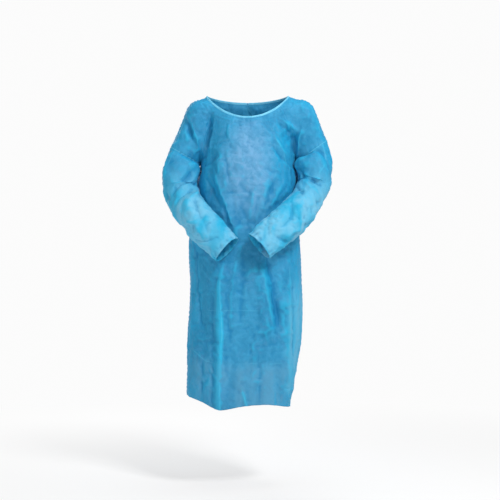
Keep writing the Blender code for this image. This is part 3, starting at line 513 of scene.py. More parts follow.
# %% Folds of the front and of the backs, with paths in x and z
FRONT_FOLDS = (
    # rise,   width, sharp, path
    (0.015, 0.030, 0.0, ((-0.085, -0.600), (-0.098, -0.840), (-0.104, -1.160))),
    (-0.012, 0.030, 0.0, ((-0.172, -0.520), (-0.172, -0.720), (-0.160, -0.880))),
    (-0.012, 0.030, 0.0, ((0.064, -0.560), (0.100, -0.700), (0.122, -0.860))),
    (0.012, 0.030, 0.0, ((0.020, -0.580), (0.060, -0.760), (0.082, -0.900))),
    (0.012, 0.028, 0.0, ((0.142, -0.700), (0.138, -0.900), (0.146, -1.120))),
    (0.012, 0.032, 0.0, ((-0.100, -0.180), (-0.064, -0.350), (-0.034, -0.540))),
    (0.012, 0.032, 0.0, ((0.085, -0.280), (0.052, -0.400), (0.028, -0.540))),
    (-0.010, 0.028, 0.0, ((-0.030, -0.300), (-0.004, -0.520))),
    (-0.012, 0.022, 0.2, ((-0.212, -0.080), (-0.196, -0.165), (-0.176, -0.205))),
    (0.009, 0.020, 0.3, ((-0.190, -0.130), (-0.172, -0.230))),
    (-0.009, 0.022, 0.4, ((-0.128, -0.070), (-0.158, -0.190), (-0.166, -0.240))),
    (0.009, 0.022, 0.3, ((0.120, -0.100), (0.178, -0.150))),
    (-0.010, 0.020, 0.3, ((0.134, -0.130), (0.166, -0.170))),
    # creases about the armholes
    (-0.012, 0.010, 0.7, ((-0.228, -0.080), (-0.214, -0.130), (-0.188, -0.182))),
    (0.0085, 0.010, 0.6, ((-0.208, -0.092), (-0.192, -0.145), (-0.174, -0.195))),
    (-0.013, 0.011, 0.6, ((-0.132, -0.056), (-0.141, -0.130), (-0.160, -0.200), (-0.173, -0.255))),
    (0.007, 0.010, 0.6, ((-0.116, -0.070), (-0.126, -0.140), (-0.146, -0.215))),
    (0.0095, 0.009, 0.7, ((0.116, -0.092), (0.150, -0.112), (0.180, -0.130))),
    (-0.0085, 0.010, 0.6, ((0.112, -0.108), (0.140, -0.128), (0.160, -0.142))),
    (-0.0155, 0.010, 0.7, ((0.158, -0.138), (0.166, -0.165), (0.173, -0.220))),
    (0.011, 0.009, 0.7, ((0.197, -0.122), (0.187, -0.165), (0.181, -0.228))),
    (0.006, 0.009, 0.8, ((0.098, -0.158), (0.126, -0.204), (0.150, -0.236))),
    (-0.006, 0.011, 0.7, ((0.090, -0.190), (0.128, -0.236), (0.160, -0.262))),
    (-0.007, 0.013, 0.5, ((-0.100, -0.215), (-0.136, -0.248), (-0.165, -0.268))),
    # lines drawn towards the hands
    (-0.009, 0.0135, 0.7, ((-0.082, -0.197), (-0.060, -0.340), (-0.035, -0.489))),
    (0.0075, 0.0115, 0.6, ((-0.118, -0.280), (-0.080, -0.390), (-0.046, -0.500))),
    (-0.009, 0.0125, 0.7, ((0.098, -0.300), (0.066, -0.400), (0.027, -0.500))),
    (0.006, 0.0105, 0.7, ((0.020, -0.330), (0.010, -0.420), (0.004, -0.500))),
    (-0.006, 0.0115, 0.6, ((0.046, -0.350), (0.030, -0.430), (0.018, -0.510))),
    (0.006, 0.0135, 0.4, ((0.130, -0.310), (0.094, -0.380), (0.060, -0.430))),
    (-0.006, 0.0135, 0.5, ((-0.150, -0.300), (-0.118, -0.360), (-0.090, -0.420))),
    # the skirt, below the hands
    (-0.0085, 0.012, 0.6, ((0.064, -0.560), (0.090, -0.680), (0.110, -0.830))),
    (0.0085, 0.012, 0.6, ((0.050, -0.600), (0.074, -0.720), (0.090, -0.830))),
    (0.007, 0.010, 0.8, ((-0.097, -0.650), (-0.097, -0.880), (-0.097, -1.140))),
    (-0.007, 0.012, 0.6, ((-0.118, -0.700), (-0.120, -0.900), (-0.122, -1.140))),
    (-0.007, 0.012, 0.6, ((-0.194, -0.530), (-0.190, -0.700), (-0.172, -0.850))),
    (-0.007, 0.014, 0.5, ((-0.012, -0.560), (-0.020, -0.700), (-0.026, -0.830))),
    (0.0055, 0.012, 0.5, ((-0.040, -0.590), (-0.058, -0.730), (-0.060, -0.850))),
    (-0.0055, 0.012, 0.5, ((-0.074, -0.600), (-0.070, -0.760), (-0.064, -0.900))),
    (0.007, 0.012, 0.5, ((0.118, -0.640), (0.122, -0.760), (0.128, -0.900))),
    (-0.0055, 0.010, 0.6, ((0.160, -0.640), (0.162, -0.800), (0.158, -0.960))),
    (0.004, 0.008, 0.9, ((-0.018, -1.050), (-0.008, -1.090), (0.003, -1.140))),
    (-0.004, 0.012, 0.6, ((0.040, -0.930), (0.046, -1.020), (0.044, -1.130))),
    (-0.004, 0.012, 0.6, ((-0.160, -0.930), (-0.166, -1.020), (-0.162, -1.100))),
)
BACK_FOLDS = (
    (0.012, 0.030, 0.0, ((-0.120, -0.480), (-0.135, -0.760), (-0.140, -1.150))),
    (-0.010, 0.026, 0.0, ((-0.070, -0.470), (-0.085, -0.700), (-0.090, -1.000))),
    (0.012, 0.030, 0.0, ((0.105, -0.480), (0.112, -0.720), (0.120, -1.150))),
    (-0.010, 0.026, 0.0, ((0.150, -0.500), (0.155, -0.760), (0.150, -0.980))),
    (-0.009, 0.024, 0.0, ((-0.130, -0.200), (-0.095, -0.330), (-0.085, -0.430))),
    (-0.009, 0.024, 0.0, ((0.125, -0.220), (0.100, -0.330), (0.090, -0.430))),
    # blousing above the waist tie and gathers below it
    (0.0065, 0.014, 0.5, ((-0.160, -0.330), (-0.120, -0.400), (-0.100, -0.440))),
    (-0.0065, 0.012, 0.6, ((-0.112, -0.350), (-0.100, -0.400), (-0.098, -0.440))),
    (0.0065, 0.012, 0.5, ((0.140, -0.300), (0.118, -0.380), (0.110, -0.440))),
    (-0.005, 0.010, 0.6, ((0.060, -0.360), (0.064, -0.440))),
    (-0.0065, 0.012, 0.6, ((-0.060, -0.330), (-0.062, -0.440))),
    (0.0065, 0.012, 0.6, ((-0.100, -0.462), (-0.106, -0.560), (-0.112, -0.700))),
    (-0.0065, 0.011, 0.6, ((-0.124, -0.465), (-0.136, -0.570), (-0.142, -0.680))),
    (-0.0065, 0.011, 0.6, ((0.078, -0.462), (0.084, -0.580), (0.086, -0.700))),
    (0.0065, 0.012, 0.6, ((0.128, -0.465), (0.138, -0.600), (0.142, -0.720))),
    (0.005, 0.010, 0.6, ((0.052, -0.465), (0.054, -0.560), (0.052, -0.640))),
    (-0.005, 0.014, 0.5, ((-0.166, -0.520), (-0.176, -0.700), (-0.172, -0.900))),
    (-0.005, 0.012, 0.5, ((0.090, -0.800), (0.094, -0.950), (0.098, -1.120))),
    (0.005, 0.012, 0.5, ((-0.060, -0.750), (-0.064, -0.900), (-0.062, -1.100))),
    # across the shoulder blades
    (-0.005, 0.014, 0.5, ((-0.190, -0.110), (-0.140, -0.150), (-0.090, -0.165))),
    (-0.005, 0.014, 0.5, ((0.200, -0.100), (0.150, -0.140), (0.100, -0.160))),
    (0.005, 0.012, 0.5, ((-0.180, -0.180), (-0.150, -0.215), (-0.130, -0.260))),
    (0.005, 0.012, 0.5, ((0.190, -0.165), (0.160, -0.210), (0.142, -0.260))),
)

# %% Folds of the sleeves, with paths down the sleeve and round it from the outside by the front
SLEEVE_FOLDS = {
    RIGHT: (
        (-0.012, 0.016, 0.3, ((0.055, 0.180), (0.115, 0.120), (0.150, 0.085))),
        (0.008, 0.018, 0.3, ((0.085, 0.060), (0.140, 0.095), (0.180, 0.150))),
        (-0.009, 0.014, 0.4, ((0.150, 0.020), (0.185, 0.045))),
        (-0.010, 0.016, 0.3, ((0.270, -0.010), (0.330, 0.040))),
        (0.009, 0.018, 0.2, ((0.230, 0.110), (0.330, 0.090))),
        (-0.009, 0.014, 0.4, ((0.110, 0.190), (0.165, 0.160))),
        # smaller creases
        (0.009, 0.011, 0.8, ((0.090, 0.170), (0.130, 0.130), (0.165, 0.070))),
        (-0.0115, 0.012, 0.7, ((0.120, 0.165), (0.160, 0.120), (0.190, 0.060))),
        (-0.0115, 0.011, 0.8, ((0.185, 0.165), (0.215, 0.120), (0.235, 0.060))),
        (0.009, 0.012, 0.6, ((0.200, 0.175), (0.240, 0.150), (0.275, 0.100))),
        (-0.009, 0.011, 0.7, ((0.250, 0.150), (0.300, 0.120), (0.350, 0.110))),
        (0.009, 0.011, 0.7, ((0.300, 0.060), (0.340, 0.080), (0.380, 0.070))),
        (-0.009, 0.011, 0.7, ((0.360, 0.020), (0.400, 0.060), (0.425, 0.110))),
        (-0.009, 0.012, 0.6, ((0.210, -0.080), (0.250, -0.040), (0.300, -0.050))),
        (0.009, 0.012, 0.6, ((0.150, -0.100), (0.190, -0.050), (0.230, 0.000))),
        (-0.0115, 0.013, 0.6, ((0.060, -0.120), (0.120, -0.080), (0.160, -0.030))),
        (0.009, 0.012, 0.5, ((0.020, 0.060), (0.060, 0.040), (0.110, 0.045))),
        (-0.009, 0.012, 0.6, ((0.340, -0.100), (0.380, -0.060), (0.420, -0.070))),
    ),
    LEFT: (
        (-0.012, 0.016, 0.3, ((0.060, 0.180), (0.115, 0.130), (0.140, 0.080))),
        (0.008, 0.018, 0.3, ((0.080, 0.070), (0.130, 0.100), (0.180, 0.150))),
        (-0.009, 0.014, 0.4, ((0.280, 0.000), (0.340, 0.050))),
        (-0.009, 0.015, 0.4, ((0.200, 0.020), (0.240, 0.060))),
        (0.009, 0.018, 0.2, ((0.220, 0.120), (0.330, 0.100))),
        (-0.009, 0.014, 0.4, ((0.100, 0.190), (0.160, 0.165))),
        # smaller creases
        (0.009, 0.011, 0.8, ((0.070, 0.175), (0.110, 0.120), (0.130, 0.060))),
        (-0.0115, 0.012, 0.7, ((0.130, 0.170), (0.160, 0.110), (0.165, 0.050))),
        (-0.0115, 0.011, 0.8, ((0.190, 0.170), (0.230, 0.125), (0.270, 0.110))),
        (0.009, 0.012, 0.6, ((0.170, 0.150), (0.200, 0.100), (0.205, 0.050))),
        (-0.009, 0.011, 0.7, ((0.300, 0.140), (0.350, 0.100), (0.400, 0.100))),
        (0.009, 0.011, 0.7, ((0.320, 0.030), (0.370, 0.060), (0.420, 0.050))),
        (-0.009, 0.011, 0.7, ((0.380, 0.000), (0.410, 0.050), (0.430, 0.100))),
        (-0.009, 0.012, 0.6, ((0.200, -0.090), (0.240, -0.050), (0.300, -0.040))),
        (0.009, 0.012, 0.6, ((0.140, -0.110), (0.180, -0.060), (0.220, -0.020))),
        (-0.0115, 0.013, 0.6, ((0.050, -0.120), (0.100, -0.090), (0.150, -0.040))),
        (-0.009, 0.012, 0.6, ((0.010, 0.100), (0.050, 0.060), (0.100, 0.020))),
        (0.009, 0.012, 0.6, ((0.360, -0.090), (0.390, -0.050), (0.430, -0.060))),
    ),
}

# %% [markdown]
# ## One sheet, joined along its seams
#
# A sewn garment moves as one cloth. So the five panels become one mesh: points that lie on a seam
# are stored once, and each face remembers which panel it was cut from. Folds, the simulation and
# the smoothing then never open a seam, and the panels are taken apart again at the end.

# %% Join the panels
PANELS = ["front_panel", "back_panel_right", "back_panel_left", "sleeve_right", "sleeve_left"]


def grid_faces(rows, columns, around=False):
    r, c = np.meshgrid(np.arange(rows - 1), np.arange(columns - (not around)), indexing="ij")
    after = (c + 1) % columns
    above, below = r * columns, (r + 1) * columns
    corners = np.stack([above + c, below + c, below + after, above + after])
    return corners.reshape(4, -1).T


def welded(points, faces, reach=2e-4):
    """Points within reach of each other made one. Gives the new points, faces and where each went."""
    tree = tree_of(points)
    first = np.array([min(i for _, i, _ in tree.find_range(Vector(p), reach)) for p in points])
    kept, place = np.unique(first, return_inverse=True)
    return points[kept], place[faces], place


grids, down_and_round = {"front_panel": whole_face(FRONT)}, {}
back = whole_face(BACK)
for side, label in SIDES:
    grids[f"back_panel_{label}"] = [lapped(grid, side)[:, ::-1] for grid in back]
    rings, down_and_round[f"sleeve_{label}"] = sleeve(side)
    grids[f"sleeve_{label}"] = [rings]

all_points, all_faces, panel_of_face, panel_start, count = [], [], [], {}, 0
for number, name in enumerate(PANELS):
    panel_start[name] = count
    for grid in grids[name]:
        faces = grid_faces(*grid.shape[:2], around=name.startswith("sleeve"))
        all_faces.append(faces + count)
        all_points.append(grid.reshape(-1, 3))
        panel_of_face.append(np.full(len(faces), number))
        count += grid.shape[0] * grid.shape[1]
points, faces, place = welded(np.concatenate(all_points), np.concatenate(all_faces))
panel_of_face = np.concatenate(panel_of_face)
print("joined cloth:", len(points), "points,", len(faces), "faces")


# %% Normals, neighbours and smoothing on the joined sheet
def point_normals(points, faces):
    a, b, c, d = (points[faces[:, i]] for i in range(4))
    push, found = np.cross(c - a, d - b), np.zeros_like(points)
    for i in range(4):
        np.add.at(found, faces[:, i], push)
    return unit(found)


def unique_edges(faces):
    sides = np.sort(np.concatenate([faces[:, (i, (i + 1) % 4)] for i in range(4)]), axis=1)
    return np.unique(sides, axis=0, return_counts=True)


edges, edge_uses = unique_edges(faces)
on_edge = np.zeros(len(points), bool)
on_edge[edges[edge_uses == 1]] = True


def neighbour_mean(values, edges):
    """At each point, the mean of the values at its neighbours."""
    total, count = np.zeros_like(values), np.zeros((len(values),) + (1,) * (values.ndim - 1))
    for a, b in ((0, 1), (1, 0)):
        np.add.at(total, edges[:, a], values[edges[:, b]])
        np.add.at(count, edges[:, a], 1)
    return total / count


def smoothed(points, amount, passes, edges=edges):
    """Each point drawn towards the middle of its neighbours, by amount (one for each point)."""
    for _ in range(passes):
        points = points + amount[:, None] * (neighbour_mean(points, edges) - points)
    return points


used_by = [np.zeros(len(points), bool) for _ in PANELS]
for number in range(len(PANELS)):
    used_by[number][faces[panel_of_face == number]] = True
used_by = np.array(used_by)
in_body, in_any_sleeve = used_by[:3].any(axis=0), used_by[3:].any(axis=0)
seam_of_point = used_by.sum(axis=0) > 1
# The rows meet at a slight angle at underarm height and down the middle of the yoke, so those are
# smoothed. Edges and seams stay where they are.
near_underarm_row = np.exp(-(((points[:, 2] - UNDERARM_Z) / 0.025) ** 2)) * ~in_any_sleeve
near_centre = np.exp(-((points[:, 0] / 0.014) ** 2)) * used_by[0] * (points[:, 2] > UNDERARM_Z)
points = smoothed(points, 0.5 * np.maximum(near_underarm_row, near_centre) * ~on_edge * ~seam_of_point, 12)

# %% [markdown]
# ## Fold the sheet
#
# The lift from the tables goes along each point's normal. It fades to nothing at the seams and at
# the neckline, where stitches hold the cloth flat. Both backs use one table, so the hidden layer of
# the lap follows the one over it.

# %% Lift the folds
CUFF_GATHERS = 13
CUFF_RADIUS = 0.056
LARGE_FOLD = 0.014           # a fold at least this wide is a large one
SLEEVE_FULLNESS = 0.011      # each sleeve swells this far towards the body, just below the armhole
BODY_FULLNESS = 0.010        # and the body this far towards the sleeve


def cuff_gathers(from_end, turn):
    """Small waves round the cuff, where its stitching draws the cloth in."""
    wave = np.sin(CUFF_GATHERS * turn + 1.3 * np.sin(2 * turn)) * (1 + 0.5 * np.sin(3 * turn + 1))
    near = np.exp(-((from_end / 0.030) ** 2))
    return 0.0016 * wave * near - 0.0022 * np.exp(-(((from_end - 0.012) / 0.007) ** 2))


def folds_apart(places, folds, held_away):
    """Large folds fade 50 mm from where the cloth is held, and small ones within 18 mm of it."""
    large = [fold for fold in folds if fold[1] >= LARGE_FOLD]
    small = [fold for fold in folds if fold[1] < LARGE_FOLD]
    rise = fold_height(places, large) * smooth_step(held_away, 0.0, 0.05)
    return rise + fold_height(places, small) * smooth_step(held_away, -0.004, 0.018)


def distance_to(points, targets):
    tree = tree_of(targets)
    return np.array([tree.find(Vector(point))[2] for point in points])


neck_edge = on_edge & in_body & (points[:, 2] > UNDERARM_Z / 2)
neck_edge &= np.hypot(points[:, 0], points[:, 1]) < NECK_HALF_WIDTH + 0.001
seam_away = distance_to(points, points[seam_of_point])
held_away = np.minimum(seam_away, distance_to(points, points[neck_edge]))
normals = point_normals(points, faces)
lift = np.zeros(len(points))
for number, folds in ((0, FRONT_FOLDS), (1, BACK_FOLDS), (2, BACK_FOLDS)):
    mine = used_by[number]
    rise = folds_apart(points[:, (0, 2)], folds, held_away)
    lift[mine] = rise[mine]
for side, label in SIDES:
    name = f"sleeve_{label}"
    places = down_and_round[name]
    length = places[-1, 0, 0]
    rise = folds_apart(places, SLEEVE_FOLDS[side], np.maximum(places[..., 0] - 0.008, 0))
    rise *= smooth_step(length - places[..., 0], 0.0, 0.05)
    rise += cuff_gathers(length - places[..., 0], places[..., 1] / CUFF_RADIUS)
    off_middle = (places - (0.055, 0.180)) / (0.035, 0.045)
    rise += SLEEVE_FULLNESS * np.exp(-(off_middle**2).sum(-1))
    at = place[panel_start[name] + np.arange(rise.size)]
    lift[at] = rise.ravel()
beside = np.exp(-(((points[:, 2] + 0.295) / 0.035) ** 2) - (np.abs(points[:, 1] - 0.03) / 0.05) ** 2)
lift += BODY_FULLNESS * beside * (in_body & ~in_any_sleeve) * smooth_step(seam_away, 0.0, 0.02)
points = points + lift[:, None] * normals
print("largest fold:", in_mm(np.abs(lift).max()))


# %% Press the front in where the forearms cross it, and the backs clear of the sleeves
PRESS_REACH = 0.07           # how far off a sleeve is looked for
PRESS_STEPS, PRESS_STEP = 12, 0.004


def press_in(points, faces, sleeves, mine, armholes, clearance):
    """The points numbered in mine pushed in wherever a sleeve lies on them. sleeves are sets of faces."""
    normals = point_normals(points, faces)
    room = clearance * smooth_step(distance_to(points[mine], armholes), 0.0, 0.03)
    pushed = np.zeros(len(points))
    for sleeve_faces in sleeves:
        tree = BVHTree.FromPolygons(points.tolist(), sleeve_faces.tolist())
        for i, gap in zip(mine, room):
            for _ in range(PRESS_STEPS):
                at = Vector(points[i] - pushed[i] * normals[i])
                spot, outward, _, _ = tree.find_nearest(at, PRESS_REACH)
                if spot is None or (at - spot).dot(outward) >= gap:
                    break
                pushed[i] += min(gap - (at - spot).dot(outward), PRESS_STEP)
    sides = unique_edges(faces)[0]
    for _ in range(3):
        pushed[mine] = np.maximum(pushed, neighbour_mean(pushed, sides))[mine]
    return points - pushed[:, None] * normals


def beside_sleeves(points):
    """Where the backs come near the sleeves."""
    return (np.abs(points[:, 0]) > 0.12) & (points[:, 2] > -0.42)


def below_underarm(points):
    return points[:, 2] < UNDERARM_Z + 0.005


def pressed_sheet(points):
    near = used_by[0] | (in_body & beside_sleeves(points))
    mine = np.flatnonzero(near & ~in_any_sleeve & below_underarm(points))
    sleeves = [faces[panel_of_face == number] for number in (3, 4)]
    return press_in(points, faces, sleeves, mine, points[in_any_sleeve & in_body], SLEEVE_CLEARANCE)


points = pressed_sheet(points)

# %% [markdown]
# ## Let the cloth settle
#
# The tables make the folds that a viewer would name. The small buckles between them are too many
# to place by hand, so Blender's cloth simulation makes those. The sheet is given a little more cloth
# than its form needs, so it buckles as it settles. A weight on each point ties it loosely to its
# place. The weight is full at the neckline, high along seams, and low where the cloth hangs free.

# %% Settle with the cloth simulation
SETTLE_FRAMES = 18
SPARE_CLOTH = 0.050          # how much more cloth there is than the form needs
LONGEST_MOVE = 0.012
TIED, TIED_AT_SEAMS, TIED_IN_SLEEVES = 0.38, 0.45, 0.10     # the last two are added to the first


def tied(piece, weights):
    """A vertex group that ties each point to its place, in twenty steps of strength."""
    group = piece.vertex_groups.new(name="tied")
    steps = np.round(weights * 20).astype(int)
    for step in np.unique(steps):
        group.add(np.flatnonzero(steps == step).tolist(), step / 20, "REPLACE")
    return group.name


def mesh_points(mesh):
    found = np.empty(len(mesh.vertices) * 3)
    mesh.vertices.foreach_get("co", found)
    return found.reshape(-1, 3)


def linked(name, data):
    piece = bpy.data.objects.new(name, data)
    bpy.context.scene.collection.objects.link(piece)
    return piece


def evaluated_copy(piece):
    """The piece with its modifiers applied, as a plain mesh, and the piece removed."""
    graph = bpy.context.evaluated_depsgraph_get()
    mesh = bpy.data.meshes.new_from_object(piece.evaluated_get(graph))
    bpy.data.objects.remove(piece)
    return mesh


def settled_sheet(points, weights):
    mesh = bpy.data.meshes.new("sheet")
    mesh.from_pydata(points.tolist(), [], faces.tolist())
    piece = linked("sheet", mesh)
    cloth = piece.modifiers.new("cloth", "CLOTH")
    cloth.settings.quality = 5
    cloth.settings.mass = 0.02
    cloth.settings.tension_stiffness = 15
    cloth.settings.compression_stiffness = 15
    cloth.settings.shear_stiffness = 6
    cloth.settings.bending_stiffness = 0.8
    cloth.settings.shrink_min = -SPARE_CLOTH
    cloth.settings.vertex_group_mass = tied(piece, weights)
    cloth.settings.pin_stiffness = 1.0
    cloth.collision_settings.use_collision = False
    cloth.collision_settings.use_self_collision = False
    cloth.point_cache.frame_start, cloth.point_cache.frame_end = 1, SETTLE_FRAMES
    for number in range(1, SETTLE_FRAMES + 1):
        bpy.context.scene.frame_set(number)
    return mesh_points(evaluated_copy(piece))


def settled_move(points):
    weights = TIED + TIED_AT_SEAMS * np.exp(-((seam_away / 0.018) ** 2)) + TIED_IN_SLEEVES * in_any_sleeve
    weights[neck_edge] = 1.0
    weights = np.maximum(weights, 0.9 * np.exp(-((distance_to(points, points[neck_edge]) / 0.02) ** 2)))
    moved = settled_sheet(points, weights) - points
    size = np.linalg.norm(moved, axis=1, keepdims=True)
    moved *= LONGEST_MOVE * np.tanh(size / LONGEST_MOVE) / np.maximum(size, 1e-9)
    print("moved by the simulation: typical", in_mm(np.median(size), 2))
    return moved


def lap_follows(points, moved):
    """The hidden layer of the lap moved as the layer over it is."""
    over = np.flatnonzero(used_by[2])
    tree = tree_of(points[over], over)
    share = smooth_step(points[:, 0], -LAP - 0.045, -LAP - 0.005) * used_by[1]
    for i in np.flatnonzero(share > 0):
        nearest = tree.find(Vector(points[i]))[1]
        moved[i] += share[i] * (moved[nearest] - moved[i])
    return moved


points = pressed_sheet(points + lap_follows(points, settled_move(points)))

# %% [markdown]
# ## Unwrap and subdivide
#
# A pattern that follows cloth needs a flat map of it. The flat map of a garment is its cutting
# pattern, so the sheet is marked where it is sewn and unwrapped there. The map is scaled to metres.
# One level of subdivision then makes the sheet fine and smooth, and carries the map along.

# %% Where the panels are sewn
def numbers_of(name, which=0):
    """The sheet's point numbers, laid out as the rows and columns of one grid of a panel."""
    start = panel_start[name]
    for earlier in grids[name][:which]:
        start += earlier.shape[0] * earlier.shape[1]
    rows, columns = grids[name][which].shape[:2]
    return place[start : start + rows * columns].reshape(rows, columns)


front_yoke, front_skirt = numbers_of("front_panel", 0), numbers_of("front_panel", 1)
seams, sleeve_unders = {}, {}
for side, label in SIDES:
    edge = 0 if side == RIGHT else -1
    rings = numbers_of(f"sleeve_{label}")
    seams[f"armhole_{label}"] = np.append(rings[0], rings[0, 0])
    seams[f"side_{label}"] = front_skirt[:, edge]
    seams[f"shoulder_{label}"] = front_yoke[:, edge]
    under = FINE["arm_columns"] if side == RIGHT else FINE["arm_columns"] - 1
    sleeve_unders[label] = rings[:, under]
for name, path in seams.items():
    print(f"{name} seam: {steps_along(points[path]).sum():.3f} m")


# %% Unwrap along the seams
def mark_cuts(mesh):
    """Seams where panels meet, and down the underside of each sleeve."""
    cuts = set()
    for path in list(seams.values()) + list(sleeve_unders.values()):
        cuts |= {tuple(sorted(pair)) for pair in zip(path[:-1].tolist(), path[1:].tolist())}
    for edge in mesh.edges:
        edge.use_seam = tuple(sorted(edge.vertices)) in cuts


def unwrapped(points):
    mesh = bpy.data.meshes.new("joined")
    mesh.from_pydata(points.tolist(), [], faces.tolist())
    mesh.attributes.new("panel", "INT", "FACE").data.foreach_set("value", panel_of_face)
    mesh.uv_layers.new(name="cut")
    mark_cuts(mesh)
    piece = linked("joined", mesh)
    bpy.context.view_layer.objects.active = piece
    bpy.ops.object.mode_set(mode="EDIT")
    bpy.ops.mesh.select_all(action="SELECT")
    bpy.ops.uv.unwrap(method="MINIMUM_STRETCH", iterations=10, margin=0.0)
    bpy.ops.object.mode_set(mode="OBJECT")
    return piece


def flat_places(mesh):
    found = np.empty(len(mesh.loops) * 2)
    mesh.uv_layers["cut"].data.foreach_get("uv", found)
    return found.reshape(-1, 4, 2)


def quad_areas(corners):
    """Areas of quads whose corners may lie in a plane or in space."""
    one, two = corners[:, 2] - corners[:, 0], corners[:, 3] - corners[:, 1]
    if corners.shape[-1] == 2:
        return np.abs(one[:, 0] * two[:, 1] - one[:, 1] * two[:, 0]) / 2
    return np.linalg.norm(np.cross(one, two), axis=1) / 2


def square_up(mesh, points):
    """Each panel's flat map scaled to its true area and turned so that its length runs down."""
    flat, cuts = flat_places(mesh), {}
    for number, name in enumerate(PANELS):
        mine = panel_of_face == number
        true_area = quad_areas(points[faces[mine]]).sum()
        island = flat[mine] - flat[mine].mean(axis=(0, 1))
        island *= math.sqrt(true_area / quad_areas(island).sum())
        corners = points[faces[mine]].reshape(-1, 3)
        downhill = np.linalg.lstsq(island.reshape(-1, 2), corners[:, 2] - corners[:, 2].mean(), rcond=None)[0]
        up = downhill / np.linalg.norm(downhill)
        island = np.stack([island @ np.array((up[1], -up[0])), island @ up], axis=-1)
        flat[mine] = island
        width, length = np.ptp(island.reshape(-1, 2), axis=0)
        cuts[name] = (float(width), float(length), float(true_area))
    mesh.uv_layers["cut"].data.foreach_set("uv", flat.ravel())
    return cuts


joined_piece = unwrapped(points)
cuts = square_up(joined_piece.data, points)
for name, (width, length, area) in cuts.items():
    print(f"{name}: cut from {width:.3f} by {length:.3f} m, {area:.3f} square metres")

# %% Subdivide the sheet
finer = joined_piece.modifiers.new("finer", "SUBSURF")
finer.levels = finer.render_levels = 1
joined = evaluated_copy(joined_piece)
fine_points = mesh_points(joined)
fine_faces = np.empty(len(joined.polygons) * 4, int)
joined.polygons.foreach_get("vertices", fine_faces)
fine_faces = fine_faces.reshape(-1, 4)
fine_panel = np.empty(len(fine_faces), int)
joined.attributes["panel"].data.foreach_get("value", fine_panel)
fine_flat = flat_places(joined)
print("fine cloth:", len(fine_points), "points,", len(fine_faces), "faces")

# %% [markdown]
# ## Crumple the papery cloth
#
# Nonwoven cloth doesn't drape in round waves like wool. It breaks into flat facets with soft creases
# between them. Scattered seeds make them here: each has a small random slope, and each point of the
# cloth takes the height of the slopes of the seeds nearest to it, mixed so that edges stay soft.
# The body's larger facets are drawn out downwards, as its cloth hangs. The forearms crumple most.

# %% Facets from scattered seeds
FACETS = (
    # size, slope, squash of the body's heights, then shares on the body, upper arms and forearms
    (0.080, 0.060, 0.45, 1.00, 1.0, 1.0),
    (0.036, 0.055, 0.45, 0.70, 0.8, 0.8),
    (0.016, 0.045, 1.00, 0.15, 0.6, 0.6),
    (0.027, 0.110, 1.00, 0.00, 0.0, 1.0),
)


def facets(points, spacing, slope, seed):
    """Height of a crumpled surface at each point, with facets about spacing wide."""
    random = np.random.default_rng(seed)
    order = random.permutation(len(points))
    chosen, taken = [], set()
    for i in order:
        cell = tuple((points[i] // spacing).astype(int))
        if cell not in taken:
            taken.add(cell)
            chosen.append(i)
    seeds = points[chosen]
    slopes = random.normal(0.0, slope, seeds.shape)
    tree = tree_of(seeds)
    height = np.zeros(len(points))
    for i, point in enumerate(points):
        found = tree.find_n(Vector(point), 4)
        index = [n for _, n, _ in found]
        away = np.array([d for _, _, d in found])
        share = np.exp(-(away - away[0]) / (0.04 * spacing))
        height[i] = (share * ((point - seeds[index]) * slopes[index]).sum(-1)).sum() / share.sum()
    limit = 0.05 * spacing
    return limit * np.tanh(height / limit)


fine_normals = point_normals(fine_points, fine_faces)
fine_neck = distance_to(fine_points, points[neck_edge])
calm = smooth_step(fine_neck, 0.004, 0.030)
in_sleeve = np.zeros(len(fine_points), bool)
in_sleeve[fine_faces[fine_panel >= 3]] = True
forearm = smooth_step(-fine_points[:, 2], 0.36, 0.44)
crumple = np.zeros(len(fine_points))
for seed, (spacing, slope, squash, on_body, on_arms, on_forearms) in enumerate(FACETS, 11):
    hung = np.where(in_sleeve[:, None], fine_points, fine_points * (1.0, 1.0, squash))
    on_sleeves = on_arms + (on_forearms - on_arms) * forearm
    crumple += facets(hung, spacing, slope, seed) * np.where(in_sleeve, on_sleeves, on_body)
crumple *= 1.0 - 0.25 * smooth_step(-fine_points[:, 2], 0.45, 0.75) * ~in_sleeve
print("crumple: at most", in_mm(np.abs(crumple).max()))

# %% [markdown]
# ## Seams and packing creases
#
# A seam draws its two edges in a little, so the cloth puckers beside it in short waves. The gown was
# also folded flat in its packet, and the folds stay as thin straight lines. Nonwoven cloth turns
# paler where it is creased or pressed. The distance to each line is stored on the mesh, and the
# material draws the line from it, so it can be finer than the mesh.

# %% Puckers beside the seams
PUCKER_LENGTH, PUCKER_HEIGHT = 0.017, 0.0008
SEAM_RIDGE, PINCH_HEIGHT = 0.0007, 0.0011


def along_seams(points, sheet_points):
    """How far each point is from its nearest seam of the sheet, and how far along that seam."""
    spots, runs, ways = [], [], []
    for path in seams.values():
        line = sheet_points[path]
        spots.append(line)
        runs.append(run_along(line))
        ways.append(unit(np.gradient(line, axis=0)))
    spots, runs, ways = (np.concatenate(part) for part in (spots, runs, ways))
    tree = tree_of(spots)
    nearest = np.array([tree.find(Vector(point))[1] for point in points])
    step = points - spots[nearest]
    ahead = (step * ways[nearest]).sum(-1)
    aside = np.linalg.norm(step - ahead[:, None] * ways[nearest], axis=1)
    return np.hypot(aside, np.maximum(np.abs(ahead) - 0.01, 0)), runs[nearest] + ahead


seam_gap, seam_run = along_seams(fine_points, points)
wander = np.array([noise.noise(Vector(point * 25)) for point in fine_points])
pucker = np.sin(2 * math.pi * seam_run / PUCKER_LENGTH + 5 * wander) * np.exp(-((seam_gap / 0.016) ** 2))
ridge = SEAM_RIDGE * np.exp(-((seam_gap / 0.0030) ** 2))

